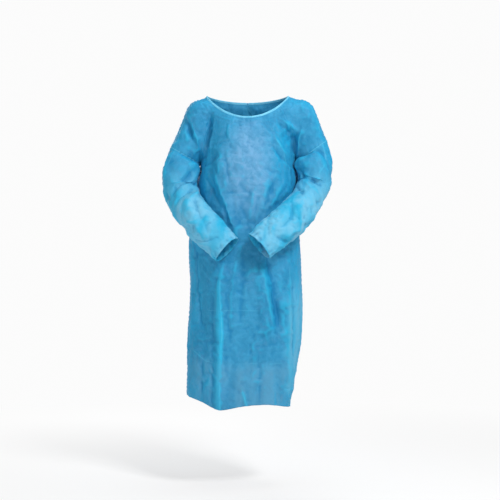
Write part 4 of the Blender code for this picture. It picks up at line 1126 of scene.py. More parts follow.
# %% Packing creases, with paths in x and z
FRONT_LINES = (
    # strength, path
    (0.6, ((-0.097, -0.640), (-0.098, -0.780))),
    (1.0, ((-0.096, -0.740), (-0.090, -0.860), (-0.097, -0.980))),
    (0.7, ((-0.098, -0.950), (-0.098, -1.140))),
    (0.5, ((-0.148, -0.778), (-0.040, -0.775), (0.078, -0.779))),
    (0.35, ((-0.050, -0.965), (0.038, -0.962))),
    (0.4, ((0.066, -0.967), (0.160, -0.962))),
    (0.6, ((-0.205, -0.912), (-0.150, -0.957), (-0.112, -0.965))),
    (0.9, ((-0.022, -1.048), (-0.010, -1.090), (0.004, -1.140))),
    (0.7, (
        (0.222, -0.030), (0.250, -0.095), (0.267, -0.160),
        (0.283, -0.222), (0.284, -0.248), (0.250, -0.294),
    )),
    (0.6, ((-0.222, -0.060), (-0.246, -0.130), (-0.256, -0.190), (-0.290, -0.260))),
    (0.5, ((0.150, -0.620), (0.152, -0.780), (0.150, -0.960))),
    (0.4, ((0.030, -0.640), (0.062, -0.700), (0.080, -0.775))),
    (0.4, ((-0.150, -0.300), (-0.152, -0.380))),
    (0.5, ((0.098, -0.160), (0.128, -0.205), (0.140, -0.260))),
    (0.5, ((-0.134, -0.070), (-0.149, -0.145), (-0.163, -0.200))),
)
BACK_LINES = (
    (0.6, ((0.098, -0.500), (0.098, -0.800), (0.098, -1.130))),
    (0.5, ((-0.160, -0.778), (-0.020, -0.775), (0.150, -0.779))),
    (0.4, ((-0.120, -0.300), (-0.020, -0.303), (0.110, -0.300))),
    (0.4, ((-0.180, -0.965), (-0.060, -0.962))),
    (0.4, ((-0.105, -0.120), (-0.104, -0.260), (-0.104, -0.420))),
)
LINE_REACH = 0.030


def distance_to_lines(places, lines):
    """Signed distance to the nearest line, and that line's strength where it is nearest."""
    best, mark = np.full(len(places), LINE_REACH), np.zeros(len(places))
    for strength, path in lines:
        path = np.array(path, float)
        legs = steps_along(path)
        for start, end, leg, before in zip(path, path[1:], legs, np.cumsum(legs) - legs):
            way = (end - start) / leg
            share = np.clip((places - start) @ way, 0, leg)
            off = places - start - share[:, None] * way
            away = np.linalg.norm(off, axis=1)
            closer = away < np.abs(best)
            side_of = np.where(off @ np.array((-way[1], way[0])) < 0, -1.0, 1.0)
            best = np.where(closer, away * side_of, best)
            done = before + share
            fade = smooth_step(done, -0.004, 0.020) * smooth_step(legs.sum() - done, -0.004, 0.020)
            mark = np.where(closer, strength * fade, mark)
    return best, mark


line_gap, line_mark = np.full(len(fine_points), LINE_REACH), np.zeros(len(fine_points))
for facing, lines in ((FRONT, FRONT_LINES), (BACK, BACK_LINES)):
    mine = fine_normals[:, 1] * facing > 0.05
    line_gap[mine], line_mark[mine] = distance_to_lines(fine_points[mine][:, (0, 2)], lines)
pinch = PINCH_HEIGHT * line_mark * np.exp(-((line_gap / 0.006) ** 2))

relief = calm * (crumple * smooth_step(seam_gap, -0.01, 0.02) + pinch + PUCKER_HEIGHT * pucker + ridge)
fine_points = fine_points + relief[:, None] * fine_normals

# %% [markdown]
# ## Ease the tucks and mark the cloth
#
# Creases that cross can turn the cloth back on itself, so the sharpest tucks are smoothed open, and
# the body is pressed clear of the sleeves again. Then everything is stored that the colour follows,
# mostly to paint light and shade: ridges and troughs for painted highlights and shade, the paler
# places where light comes through one layer for painted light, the chest, which faces the light,
# for a painted highlight, the flanks turned from the front for painted shade, and the greyer band
# above the hem.

# %% Ease the sharpest tucks
TUCK = (0.25, 0.60)          # 1 less the cosine of the turn between neighbours, so 41 to 66 degrees


def eased(points, faces, rounds=6):
    """Where the cloth turns back on itself within a few millimetres, it is smoothed until it lies open."""
    sides, uses = unique_edges(faces)
    free = np.ones(len(points))
    free[sides[uses == 1]] = 0.0
    for _ in range(rounds):
        normals = point_normals(points, faces)
        turn = 1 - (normals[sides[:, 0]] * normals[sides[:, 1]]).sum(-1)
        tuck = np.zeros(len(points))
        for end in (0, 1):
            np.maximum.at(tuck, sides[:, end], smooth_step(turn, *TUCK))
        about = smoothed(tuck[:, None], np.full(len(points), 0.7), 4, sides)[:, 0]
        points = smoothed(points, np.minimum(2.0 * about, 0.7) * free, 4, sides)
    return points


before = fine_points
fine_points = eased(fine_points, fine_faces)
print("tucks eased by at most", in_mm(np.abs(fine_points - before).max()))

# %% Keep the body clear of the sleeves once more
FINE_CLEARANCE = 1.6 * CLOTH
WELL_BELOW_CUFFS_Z = -0.75
by_panel = [np.unique(fine_faces[fine_panel == number]) for number in range(len(PANELS))]
sleeve_points = np.union1d(by_panel[3], by_panel[4])
near = np.union1d(by_panel[1], by_panel[2])
near = near[beside_sleeves(fine_points[near])]
below = np.union1d(by_panel[0][fine_points[by_panel[0], 2] > WELL_BELOW_CUFFS_Z], near)
below = np.setdiff1d(below[below_underarm(fine_points[below])], sleeve_points)
fine_sleeves = [fine_faces[fine_panel == number] for number in (3, 4)]
meeting = fine_points[np.intersect1d(sleeve_points, np.union1d(by_panel[0], np.union1d(*by_panel[1:3])))]
fine_points = press_in(fine_points, fine_faces, fine_sleeves, below, meeting, FINE_CLEARANCE)
fine_normals = point_normals(fine_points, fine_faces)


# %% How far each point stands proud of the cloth about it
def proud_of(points, faces, normals, panels):
    """In millimetres: above 0 on a ridge, below 0 in a trough, and 0 at each panel's usual value."""
    sides = unique_edges(faces)[0]
    soft = smoothed(points, np.full(len(points), 0.8), 14, sides)
    found = ((points - soft) * normals).sum(-1) * 1000
    for mine in panels:
        found[mine] -= np.median(found[mine])
    return found


# This measure steers painted shade in troughs and painted highlights on ridges.
proud = calm * proud_of(fine_points, fine_faces, fine_normals, by_panel)
print("proud, from trough to ridge:", np.round(np.percentile(proud, (2, 50, 98)), 1), "mm")

# %% Where light and shade are painted: light through one layer, a chest highlight, shaded flanks; and the greyer band
HEM_BAND = (0.940, 1.000)    # it starts higher towards the wearer's right
fine_x, down = fine_points[:, 0], -fine_points[:, 2]
# Painted light: the forearms and the skirt's edge, where light comes through one layer, are lightened.
down_arm = smooth_step(down, 0.24, 0.42) * in_sleeve
skirt_edge = smooth_step(fine_x + 0.02 * wander, 0.128, 0.152) * smooth_step(down, 0.62, 0.80)
# Painted highlight: the front of the chest, which faces the light.
chest = np.exp(-(((fine_x / 0.085) ** 2 + ((down - 0.27) / 0.17) ** 2) ** 2))
facing = smooth_step(-fine_normals[:, 1], 0.0, 0.6) * ~in_sleeve
pale, light = np.maximum(down_arm, 0.55 * skirt_edge * ~in_sleeve), 0.8 * chest * facing
# Painted shade: where the cloth turns away from the front, it is tinted a deeper cyan.
turned = 1 - np.abs(fine_normals[:, 1])
low = smooth_step(down - 0.25 * np.minimum(fine_x + 0.10, 0.0), *HEM_BAND) * ~in_sleeve

# %% [markdown]
# ## Cut the sheet back into panels
#
# Each panel is taken out by the number that its faces carry, with its part of the flat map and of
# the stored marks. A Solidify modifier gives it its thickness.

# %% Take the panels apart
# Some of these marks only steer painted light and shade in the colour: the height of ridges and troughs,
# light through one layer, the chest highlight and the turned flanks.
STORED = {"seam_gap": seam_gap, "line_gap": line_gap, "line_mark": line_mark, "proud": proud}
STORED |= {"pale": pale, "light": light, "turned": turned, "low": low}
pieces = {}
for number, name in enumerate(PANELS):
    mine = fine_panel == number
    kept, corner = np.unique(fine_faces[mine], return_inverse=True)
    mesh = bpy.data.meshes.new(name)
    mesh.from_pydata(fine_points[kept].tolist(), [], corner.reshape(-1, 4).tolist())
    mesh.uv_layers.new(name="cut").data.foreach_set("uv", fine_flat[mine].ravel())
    for key, values in STORED.items():
        mesh.attributes.new(key, "FLOAT", "POINT").data.foreach_set("value", values[kept].astype(np.float32))
    mesh.shade_smooth()
    piece = linked(f"gown_{name}", mesh)
    wall = piece.modifiers.new("wall", "SOLIDIFY")
    wall.thickness = CLOTH
    wall.offset = -1.0
    pieces[name] = piece

# %% [markdown]
# ## Materials
#
# Shader maths is easier to read as Python expressions. The class below wraps one socket, and
# arithmetic on it adds Math nodes. Any other node comes from its `add` method.

# %% A small language for shader trees
class Shade:
    """One output socket of a shader tree. Arithmetic on it adds Math nodes."""

    def __init__(self, tree, socket=None):
        self.tree, self.socket = tree, socket

    def add(self, kind, settings=(), inputs=(), output=0):
        node = self.tree.nodes.new(kind)
        for name, value in dict(settings).items():
            setattr(node, name, value)
        for key, value in dict(inputs).items():
            if isinstance(value, Shade):
                self.tree.links.new(value.socket, node.inputs[key])
            else:
                node.inputs[key].default_value = value
        return Shade(self.tree, node.outputs[output])

    def math(self, operation, *others):
        return self.add("ShaderNodeMath", {"operation": operation}, enumerate((self, *others)))

    def __add__(self, other):
        return self.math("ADD", other)

    def __mul__(self, other):
        return self.math("MULTIPLY", other)

    def __sub__(self, other):
        return self.math("SUBTRACT", other)

    def __rsub__(self, other):
        return self.math("MULTIPLY", -1.0) + other

    def __truediv__(self, other):
        return self.math("DIVIDE", other)

    def __abs__(self):
        return self.math("ABSOLUTE")

    __radd__, __rmul__ = __add__, __mul__

    def from_to(self, low, high):
        """A smooth rise from 0 at low to 1 at high, or a fall if low is the greater."""
        if low > high:
            return 1 - self.from_to(high, low)
        sizes = {"Value": self, "From Min": low, "From Max": high}
        return self.add("ShaderNodeMapRange", {"interpolation_type": "SMOOTHSTEP"}, sizes)

    def tint(self, first, second):
        """The first colour where this is 0 and the second where it is 1."""
        return self.add("ShaderNodeMix", {"data_type": "RGBA"}, {0: self, 6: first, 7: second}, output=2)

    def stored(self, name):
        return self.add("ShaderNodeAttribute", {"attribute_name": name}, output=2)

    def split(self):
        """The x, y and z of a vector."""
        outputs = self.add("ShaderNodeSeparateXYZ", (), {0: self}).socket.node.outputs
        return [Shade(self.tree, socket) for socket in outputs]

    def noise(self, vector, scale, detail=2.0, roughness=0.5, distortion=0.0):
        sizes = {"Vector": vector, "Scale": scale, "Detail": detail, "Roughness": roughness}
        sizes["Distortion"] = distortion
        return self.add("ShaderNodeTexNoise", (), sizes)


def colour(red, green, blue):
    return (red, green, blue, 1.0)


def new_material(name):
    """A material whose tree holds only its output, as a place to start adding nodes."""
    material = bpy.data.materials.new(name)
    material.use_nodes = True
    tree = material.node_tree
    tree.nodes.clear()
    return material, Shade(tree)


def finish_material(shade, surface):
    output = shade.tree.nodes.new("ShaderNodeOutputMaterial")
    shade.tree.links.new(surface.socket, output.inputs["Surface"])


# %% [markdown]
# ### Spunbond cloth
#
# The cloth is a web of fine plastic fibres, pressed together at thousands of small bond points.
# Three things show from near to far: the grid of bond points some 2 mm apart, the fibres between,
# and clouds where the web is thicker or thinner. It is slightly see-through, so a translucent
# shader carries some light through. Creases and seams are paler. Light and shade are painted into
# the colour as well: troughs are darkened as painted shade, ridges and the chest are lightened as
# painted highlights, flanks turned from the front take a deeper cyan as painted shade, and the
# forearms and the skirt's edge are lightened as painted light through one layer. Each tint goes
# over the last one, and its strength comes from a mark stored on the mesh.

# %% The gown's cloth
BOND_PITCH = 0.0022
# Some of these colours are painted light and shade: the trough colour is painted shade, the chest colour a
# painted highlight, the deep cyan of turned flanks painted shade, and the creased and pale colours also paint
# light on ridges and through one layer.
DEEP, MIDDLE = colour(0.010, 0.225, 0.440), colour(0.050, 0.375, 0.640)
PAINTED_FLANK_SHADE, DUSKY = colour(0.004, 0.370, 0.660), colour(0.080, 0.290, 0.540)
PALE_AND_PAINTED_LIGHT, CREASE_AND_PAINTED_LIGHT = colour(0.260, 0.600, 0.790), colour(0.020, 0.500, 0.770)
CHEST_HIGHLIGHT, PAINTED_TROUGH_SHADE = colour(0.200, 0.440, 0.690), colour(0.003, 0.220, 0.470)
GREYER, PRESSED = colour(0.130, 0.380, 0.570), colour(0.110, 0.590, 0.800)
LETS_THROUGH = 0.25


def bond_points(flat):
    """1 at the centre of each bond point and 0 between them, on a grid turned by 45 degrees."""
    u, v, _ = flat.split()
    one, two = (u + v) / BOND_PITCH, (u - v) / BOND_PITCH
    off_one = abs(one.math("FRACT") - 0.5)
    off_two = abs(two.math("FRACT") - 0.5)
    away = (off_one * off_one + off_two * off_two).math("SQRT")
    return away.from_to(0.30, 0.16)


def spunbond(name):
    material, shade = new_material(name)
    flat = shade.add("ShaderNodeUVMap", {"uv_map": "cut"})
    place_3d = shade.add("ShaderNodeTexCoord", output=3)
    bonds = bond_points(flat)
    clouds = shade.noise(place_3d, 34.0, 5.0, 0.62, 0.6).from_to(0.34, 0.68)
    hung = shade.add("ShaderNodeMapping", (), {"Vector": place_3d, "Scale": (1.0, 1.0, 0.30)})
    patches = shade.noise(hung, 16.0, 2.0, 0.4, 0.6).from_to(0.34, 0.68)
    streaks = shade.noise(hung, 15.0, 3.0, 0.5, 0.4).from_to(0.36, 0.64)
    fibres = shade.noise(flat, 620.0, 3.0, 0.6, 2.5)
    crumbs = shade.noise(place_3d, 120.0, 3.0, 0.6, 1.0)

    broken = shade.noise(place_3d, 22.0, 2.0).from_to(0.32, 0.58) * shade.stored("line_mark")
    pressed = abs(shade.stored("line_gap")).from_to(0.0030, 0.0004) * broken
    strong = shade.stored("line_mark").from_to(0.70, 1.00)
    glow = abs(shade.stored("line_gap")).from_to(0.0110, 0.0010) * strong
    seam_line = shade.stored("seam_gap").from_to(0.0026, 0.0008)
    ridge_highlight, trough_shade = shade.stored("proud").from_to(0.2, 3.0), shade.stored("proud").from_to(-0.2, -3.2)
    pale, light, turned = shade.stored("pale"), shade.stored("light"), shade.stored("turned")
    low = shade.stored("low")

    web = clouds * 0.40 + streaks * 0.45 + fibres * 0.20 - 0.02
    base = web.tint(DEEP, MIDDLE)
    base = (shade.noise(place_3d, 17.0, 4.0, 0.6, 1.0).from_to(0.50, 0.70) * 0.30).tint(base, DUSKY)
    # Painted highlight on the chest, where it faces the light.
    base = (light * (0.45 + 0.55 * clouds)).tint(base, CHEST_HIGHLIGHT)
    base = (low * (0.16 + 0.40 * patches)).tint(base, GREYER)
    # Painted shade: flanks turned from the front go a deeper, more saturated cyan.
    base = (turned.from_to(0.05, 0.50) * (0.50 + 0.45 * streaks)).tint(base, PAINTED_FLANK_SHADE)
    # Painted light, as if coming through one layer, on the forearms and the skirt's edge.
    base = (pale * 0.75).tint(base, CREASE_AND_PAINTED_LIGHT)
    base = (pale * patches * 0.70).tint(base, PALE_AND_PAINTED_LIGHT)
    base = (crumbs.from_to(0.55, 0.75) * 0.10).tint(base, PALE_AND_PAINTED_LIGHT)
    # Painted shade: troughs of folds are darkened, less where painted light comes through one layer.
    base = (trough_shade * (0.70 - 0.30 * pale)).tint(base, PAINTED_TROUGH_SHADE)
    # Painted highlight: ridges of folds are lightened.
    base = (ridge_highlight * 0.50).tint(base, CREASE_AND_PAINTED_LIGHT)
    base = (bonds * 0.14).tint(base, DEEP)
    base = (glow * (0.30 + 0.40 * patches)).tint(base, CREASE_AND_PAINTED_LIGHT)
    base = (pressed * 0.42).tint(base, PRESSED)
    base = (seam_line * 0.60).tint(base, PRESSED)

    lines = pressed.math("MAXIMUM", seam_line)
    height = fibres * 0.00006 + crumbs * 0.0006 + clouds * 0.0004 - bonds * 0.00007 + lines * 0.0004
    bump = shade.add("ShaderNodeBump", (), {"Strength": 0.8, "Distance": 1.0, "Height": height})
    sizes = {"Base Color": base, "Roughness": 0.50 + 0.22 * fibres, "Normal": bump}
    sizes |= {"Specular IOR Level": 0.25, "Sheen Weight": 0.05, "Sheen Roughness": 0.5}
    solid = shade.add("ShaderNodeBsdfPrincipled", (), sizes)
    through = shade.add("ShaderNodeBsdfTranslucent", (), {"Color": base, "Normal": bump})
    share = {0: LETS_THROUGH, 1: solid, 2: through}
    finish_material(shade, shade.add("ShaderNodeMixShader", (), share))
    return material


cloth_finish = spunbond("spunbond cloth")

# %% [markdown]
# ## The neck binding
#
# A narrow strip of paler cloth is folded over the raw neck edge and sewn through. Its section is
# drawn once, as distances down from the edge and out from the cloth, and set at each point of the
# neckline. It starts at the opening in the back, goes round the front, and ends at the opening.

# %% The neckline from one side of the opening round to the other
def neckline_stations():
    """Sheet point numbers on the neck edge, and those one row below."""
    edge_row, below_row = [], []
    for name in ("back_panel_right", "front_panel", "back_panel_left"):
        numbers = numbers_of(name, 0)
        edge_row.append(numbers[0])
        below_row.append(numbers[1])
    edge_row, below_row = np.concatenate(edge_row), np.concatenate(below_row)
    fresh = np.append(True, np.diff(edge_row) != 0)
    return edge_row[fresh], below_row[fresh]


def swept(name, sections):
    """A closed body through sections that list the same corners in turn."""
    count, corners = len(sections), len(sections[0])
    faces = grid_faces(count, corners, around=True).tolist()
    faces += [list(range(corners))[::-1], [(count - 1) * corners + j for j in range(corners)]]
    mesh = bpy.data.meshes.new(name)
    mesh.from_pydata(np.concatenate(sections).tolist(), [], faces)
    shape = bmesh.new()
    shape.from_mesh(mesh)
    bmesh.ops.recalc_face_normals(shape, faces=shape.faces)
    if shape.calc_volume(signed=True) < 0:
        bmesh.ops.reverse_faces(shape, faces=shape.faces)
    shape.to_mesh(mesh)
    shape.free()
    mesh.shade_smooth()
    mesh.set_sharp_from_angle(angle=math.radians(50))
    return linked(name, mesh)


# %% Sew on the binding
BINDING_SECTION = np.array(
    (
        # down from the edge, out from the cloth, in parts of the width and of the thickness
        (1.00, 0.45), (0.97, 0.80), (0.86, 0.95), (0.74, 0.62), (0.62, 0.95), (0.40, 1.05),
        (0.15, 1.05), (-0.04, 0.80), (-0.12, 0.30), (-0.12, -0.30), (-0.04, -0.80), (0.15, -1.05),
        (0.40, -1.05), (0.62, -0.95), (0.74, -0.62), (0.86, -0.95), (0.97, -0.80), (1.00, -0.45),
        # and back up inside the fold
        (0.97, -0.34), (0.50, -0.34), (0.08, -0.34), (0.00, 0.00), (0.08, 0.34), (0.50, 0.34), (0.97, 0.34),
    )
)
edge_row, below_row = neckline_stations()
neck_path = fine_points[edge_row]
neck_down = unit(fine_points[below_row] - neck_path)
neck_out = fine_normals[edge_row]
neck_run = run_along(neck_path)
print(f"binding: {neck_run[-1]:.3f} m long")


def binding_sections():
    sections = []
    for spot, down, out, run in zip(neck_path, neck_down, neck_out, neck_run):
        pull = 1 + 0.05 * noise.noise(Vector((run * 90, 0.0, 3.0)))
        phase = 2 * math.pi * run / 0.009 + 4 * noise.noise(Vector((run * 30, 5.0, 0.0)))
        wave = 0.00018 * math.sin(phase)
        width = BINDING_WIDTH * pull
        across = BINDING_SECTION[:, :1] * width * down
        thick = (BINDING_SECTION[:, 1:] * (BINDING_PLY + 0.0003) - CLOTH / 2 + wave) * out
        sections.append(spot + across + thick)
    return sections


binding = swept("gown_neck_binding", binding_sections())

# %% [markdown]
# ## Ties
#
# The gown is closed by four ties: a pair at the neck and a pair at the waist, each tied in a bow.
# A tie is a narrow strip of the gown's own cloth, flat, with slightly wavy edges. Each lies on the
# back where it can: straight lines are cast at the cloth to find how deep it is there.

# %% Lay a strip on the back
tie_corners = np.array([(-1, 0), (-0.97, 0.6), (-0.8, 1), (0, 0.85), (0.8, 1), (0.97, 0.6)])
TIE_SECTION = np.concatenate([tie_corners, -tie_corners])
STRIP_STEP = 0.0025
FAR_BEHIND = 0.4
back_faces = fine_faces[(fine_panel == 1) | (fine_panel == 2)]
back_tree = BVHTree.FromPolygons(fine_points.tolist(), back_faces.tolist())


def smooth_path(path, count):
    """The path with count points, on a smooth curve through it."""
    run = run_along(path)
    return smooth_table(np.linspace(0, run[-1], count), run, path)


def strip(name, path, flat, width=TIE_WIDTH):
    """A tie along a path. flat is the direction across its width at each point."""
    count = max(24, int(steps_along(path).sum() / STRIP_STEP))
    flat = smooth_path(np.concatenate([path, flat], axis=1), count)[:, 3:]
    path = smooth_path(path, count)
    heading = unit(np.gradient(path, axis=0))
    flat = unit(flat - (flat * heading).sum(-1, keepdims=True) * heading)
    thick = unit(np.cross(heading, flat))
    sections = []
    for number, (spot, across, out) in enumerate(zip(path, flat, thick)):
        wave = 0.0003 * noise.noise(Vector((number * 0.16, len(name) * 1.7, 0.0)))
        narrow = 1 - 0.05 * abs(noise.noise(Vector((number * 0.1, 9.0, len(name) * 1.0))))
        shape = TIE_SECTION[:, :1] * across * width / 2 * narrow
        sections.append(spot + wave * out + shape + TIE_SECTION[:, 1:] * out * TIE_THICK / 2 * 0.8)
    return swept(name, sections), float(steps_along(path).sum())


def laid_on(starts, towards, lift):
    """Where straight lines meet the back, stopped short of it by lift."""
    found = []
    for start, way in zip(starts, np.broadcast_to(towards, starts.shape)):
        hit = back_tree.ray_cast(Vector(start), Vector(way))[0]
        found.append(np.array(hit) - way * lift)
    return np.array(found)


def behind(x, z, lift):
    """Points behind the back at x and z, off its outer face by lift across a tie's width."""
    x, z = np.broadcast_arrays(np.asarray(x, float), np.asarray(z, float))
    depths = []
    for aside in np.linspace(-0.6, 0.6, 7) * TIE_WIDTH:
        near = np.abs(x + aside) < 2 * NECK_OPENING
        for side in (RIGHT, LEFT):
            cast = np.where(near, side * 2 * NECK_OPENING, x + aside)
            starts = np.stack([cast, np.full(x.size, FAR_BEHIND), z], axis=-1)
            depths.append(laid_on(starts, np.array((0.0, -1.0, 0.0)), lift)[:, 1])
    return np.stack([x, np.max(depths, axis=0), z], axis=-1)


# %% Bows and waist ties
LOOP_FOLD = 0.0016           # half the gap between a loop's two runs, where they leave the knot
LOOP_OPEN, LOOP_LEAN = 0.09, 0.16     # how far a loop stands open and leans back, for its length
LOOP_DROOP = 11.0


def knot(name, middle):
    """A small pulled knot: a rounded lump with a strip wound over it aslant."""
    around, up = np.linspace(0, 2 * math.pi, 33)[:-1], np.linspace(-math.pi / 2, math.pi / 2, 19)
    sections = []
    for level in up[1:-1]:
        round_x = np.sign(np.cos(around)) * np.abs(np.cos(around)) ** 0.75
        round_y = np.sign(np.sin(around)) * np.abs(np.sin(around)) ** 0.75
        fullness = math.cos(level) ** 0.55
        slant = level + 0.5 * np.cos(around)
        groove = 1 - 0.10 * np.exp(-(((np.abs(slant) - 0.75) / 0.16) ** 2))
        section = np.stack([round_x * KNOT[0], round_y * KNOT[1], 0 * round_x], axis=-1) / 2
        section = section * fullness * groove[:, None] + (0, 0, math.sin(level) * KNOT[2] / 2)
        sections.append(middle + section)
    return swept(name, sections)


def bow(name, at, lift, loop, tail, spread):
    """A knot with two loops and two hanging tails, at the centre of the back."""
    under = behind(np.zeros(3), at + np.array((0.3, 0.0, -0.5)) * KNOT[2], lift)
    middle = np.array((0.0, under[:, 1].max() + KNOT[1] / 2, at))
    found = {f"{name}_knot": (knot(f"gown_{name}_knot", middle), None)}
    for side, label in SIDES:
        turn = np.linspace(0, math.pi, 31)
        out = loop * np.sin(turn) ** 0.8
        x = side * (KNOT[0] / 2 - 0.0008 + out)
        y = middle[1] + LOOP_FOLD * np.cos(turn) + LOOP_OPEN * loop * np.sin(2 * turn) + LOOP_LEAN * out
        z = middle[2] - LOOP_DROOP * np.maximum(out - 0.010, 0) ** 2
        flat = np.stack([side * (0.25 + 8 * out), 0 * out, np.ones_like(out)], axis=-1)
        flat[0] = flat[-1] = (0, 0, 1)
        path = np.stack([x, y, z], axis=-1)
        found[f"{name}_loop_{label}"] = strip(f"gown_{name}_loop_{label}", path, flat, 0.8 * TIE_WIDTH)
        fall = np.linspace(0, 1, 18)
        x = side * (TIE_WIDTH / 2 + 0.0008 + spread * tail * fall**1.2)
        z = middle[2] - KNOT[2] / 2 + 0.001 - tail * fall
        y = behind(x, z, TIE_LIFT + TIE_THICK)[:, 1]
        y = np.maximum(y, middle[1] - 0.010 * smooth_step(fall, 0, 0.3))
        y = y + 0.003 * fall * (1 + np.sin(7 * fall + side))
        path = np.stack([x, y, z], axis=-1)
        flat = np.tile((1.0, 0.0, 0.0), (len(path), 1))
        found[f"{name}_tail_{label}"] = strip(f"gown_{name}_tail_{label}", path, flat)
    return found


def waist_tie(side, label):
    """From the side seam across the back, to meet the other under the knot."""
    share = np.linspace(0.97, 0.0, 61)
    ring = torso_ring(share, BACK, side, WAIST_Z)
    outward = unit((ring - np.array((0.0, -0.05, WAIST_Z))) * (1, 1, 0))
    reach = []
    for level in (-0.45, 0.0, 0.45):
        starts = ring + 0.08 * outward + (0, 0, level * TIE_WIDTH)
        met = laid_on(starts, -outward, TIE_LIFT + TIE_THICK / 2)
        reach.append(((met - ring) * outward).sum(-1))
    reach = np.max(reach, axis=0)
    reach = np.array([reach[max(i - 3, 0): i + 4].max() for i in range(len(reach))])
    path = (ring + reach[:, None] * outward)[::3]
    path[-1, 0] = side * 0.0006
    return strip(f"gown_waist_tie_{label}", path, np.tile((0.0, 0.0, 1.0), (len(path), 1)))


ties = bow("neck", -NECK_DROP_BACK - 0.006, BINDING_PLY + 2 * LIFT, NECK_LOOP, NECK_TAIL, 0.10)
ties |= bow("waist", WAIST_Z, TIE_LIFT + TIE_THICK + 0.0004, WAIST_LOOP, WAIST_TAIL, 0.07)
for side, label in SIDES:
    ties[f"waist_tie_{label}"] = waist_tie(side, label)
print("tie pieces:", len(ties))

# %% [markdown]
# ## Stitches
#
# Stitches repeat along a path, which is what Geometry Nodes are for. One tree serves every seam: it
# cuts a curve into equal steps, sets a short rounded piece of thread at each, turned along the
# curve, and makes them real. Its inputs are the step, the length of a stitch and the thread's size.

# %% A tree of nodes that sews along a curve
THREAD = 0.00042
STITCH, STEP = 0.0030, 0.0040


class NodeTree:
    """A Geometry Nodes tree that is built by adding nodes and linking them as they are made."""

    def __init__(self, name):
        self.tree = bpy.data.node_groups.new(name, "GeometryNodeTree")
        self.tree.interface.new_socket("Geometry", in_out="INPUT", socket_type="NodeSocketGeometry")
        self.tree.interface.new_socket("Geometry", in_out="OUTPUT", socket_type="NodeSocketGeometry")
        self.start = self.tree.nodes.new("NodeGroupInput")

    def size(self, name):
        """A named input for a size in metres, and its socket in the tree."""
        self.tree.interface.new_socket(name, in_out="INPUT", socket_type="NodeSocketFloat")
        return self.start.outputs[name]

    def add(self, kind, settings=(), inputs=(), output=0):
        node = self.tree.nodes.new(kind)
        for name, value in dict(settings).items():
            setattr(node, name, value)
        for key, value in dict(inputs).items():
            if isinstance(value, bpy.types.NodeSocket):
                self.tree.links.new(value, node.inputs[key])
            else:
                node.inputs[key].default_value = value
        return node.outputs[output]

    def finish(self, socket):
        end = self.tree.nodes.new("NodeGroupOutput")
        self.tree.links.new(socket, end.inputs[0])
        return self.tree

    def input_key(self, name):
        """The key under which a modifier holds the named input."""
        return next(item.identifier for item in self.tree.interface.items_tree if item.name == name)


def sewing_tree(finish):
    nodes = NodeTree("stitches along a curve")
    step, length, thick = nodes.size("Step"), nodes.size("Stitch length"), nodes.size("Thread thickness")
    steps = {"Curve": nodes.start.outputs["Geometry"], "Length": step}
    spots = nodes.add("GeometryNodeCurveToPoints", {"mode": "LENGTH"}, steps)
    way = spots.node.outputs["Tangent"]
    turned = nodes.add("FunctionNodeAlignRotationToVector", {"axis": "Z"}, {"Vector": way})
    bead = nodes.add("GeometryNodeMeshUVSphere", (), {"Segments": 6, "Rings": 5, "Radius": 0.5})
    scale = nodes.add("ShaderNodeCombineXYZ", (), {"X": thick, "Y": thick, "Z": length})
    placed = {"Points": spots, "Instance": bead, "Rotation": turned, "Scale": scale}
    sewn = nodes.add("GeometryNodeInstanceOnPoints", (), placed)
    real = nodes.add("GeometryNodeRealizeInstances", (), {"Geometry": sewn})
    nodes.finish(nodes.add("GeometryNodeSetMaterial", (), {"Geometry": real, "Material": finish}))
    return nodes


# %% [markdown]
# The thread is polyester, paler than the cloth. The binding is the same kind of cloth as the gown,
# dyed a lighter cyan, and lies double. The ties are strips of the gown's own cloth.

# %% Finishes of the thread, the binding and the ties
def thread_finish():
    material, shade = new_material("sewing thread")
    spot = shade.add("ShaderNodeTexCoord", output=3)
    twist = shade.noise(spot, 2600.0, 2.0)
    base = twist.tint(colour(0.06, 0.42, 0.66), colour(0.16, 0.56, 0.78))
    bump = shade.add("ShaderNodeBump", (), {"Strength": 0.5, "Distance": 1.0, "Height": twist * 0.0001})
    sizes = {"Base Color": base, "Roughness": 0.45, "Normal": bump, "Sheen Weight": 0.2}
    finish_material(shade, shade.add("ShaderNodeBsdfPrincipled", (), sizes))
    return material


def narrow_cloth(name, low, high, wrinkling):
    """Cloth of strips too narrow for a flat map: bond points, fibres and clouds in space."""
    material, shade = new_material(name)
    spot = shade.add("ShaderNodeTexCoord", output=3)
    bonds = shade.add("ShaderNodeTexVoronoi", (), {"Vector": spot, "Scale": 560.0, "Randomness": 0.35})
    fibres = shade.noise(spot, 700.0, 3.0, 0.6, 2.0)
    clouds = shade.noise(spot, 60.0, 3.0, 0.6, 0.5).from_to(0.35, 0.65)
    wrinkles = shade.noise(spot, 210.0, 2.0, 0.5, 1.5)
    base = (clouds * 0.55 + fibres * 0.35).tint(low, high)
    base = (bonds.from_to(0.30, 0.10) * 0.15).tint(base, low)
    height = fibres * 0.00006 + wrinkles * 0.0005 * wrinkling - bonds.from_to(0.30, 0.10) * 0.00006
    bump = shade.add("ShaderNodeBump", (), {"Strength": 0.8, "Distance": 1.0, "Height": height})
    sizes = {"Base Color": base, "Roughness": 0.48 + 0.2 * fibres, "Normal": bump}
    sizes |= {"Specular IOR Level": 0.35, "Sheen Weight": 0.15, "Sheen Roughness": 0.5}
    solid = shade.add("ShaderNodeBsdfPrincipled", (), sizes)
    through = shade.add("ShaderNodeBsdfTranslucent", (), {"Color": base, "Normal": bump})
    finish_material(shade, shade.add("ShaderNodeMixShader", (), {0: 0.12, 1: solid, 2: through}))
    return material


thread = thread_finish()
binding_finish = narrow_cloth("binding cloth", colour(0.070, 0.420, 0.650), colour(0.170, 0.570, 0.780), 0.5)
tie_finish = narrow_cloth("tie cloth", DEEP, colour(0.110, 0.460, 0.730), 1.0)

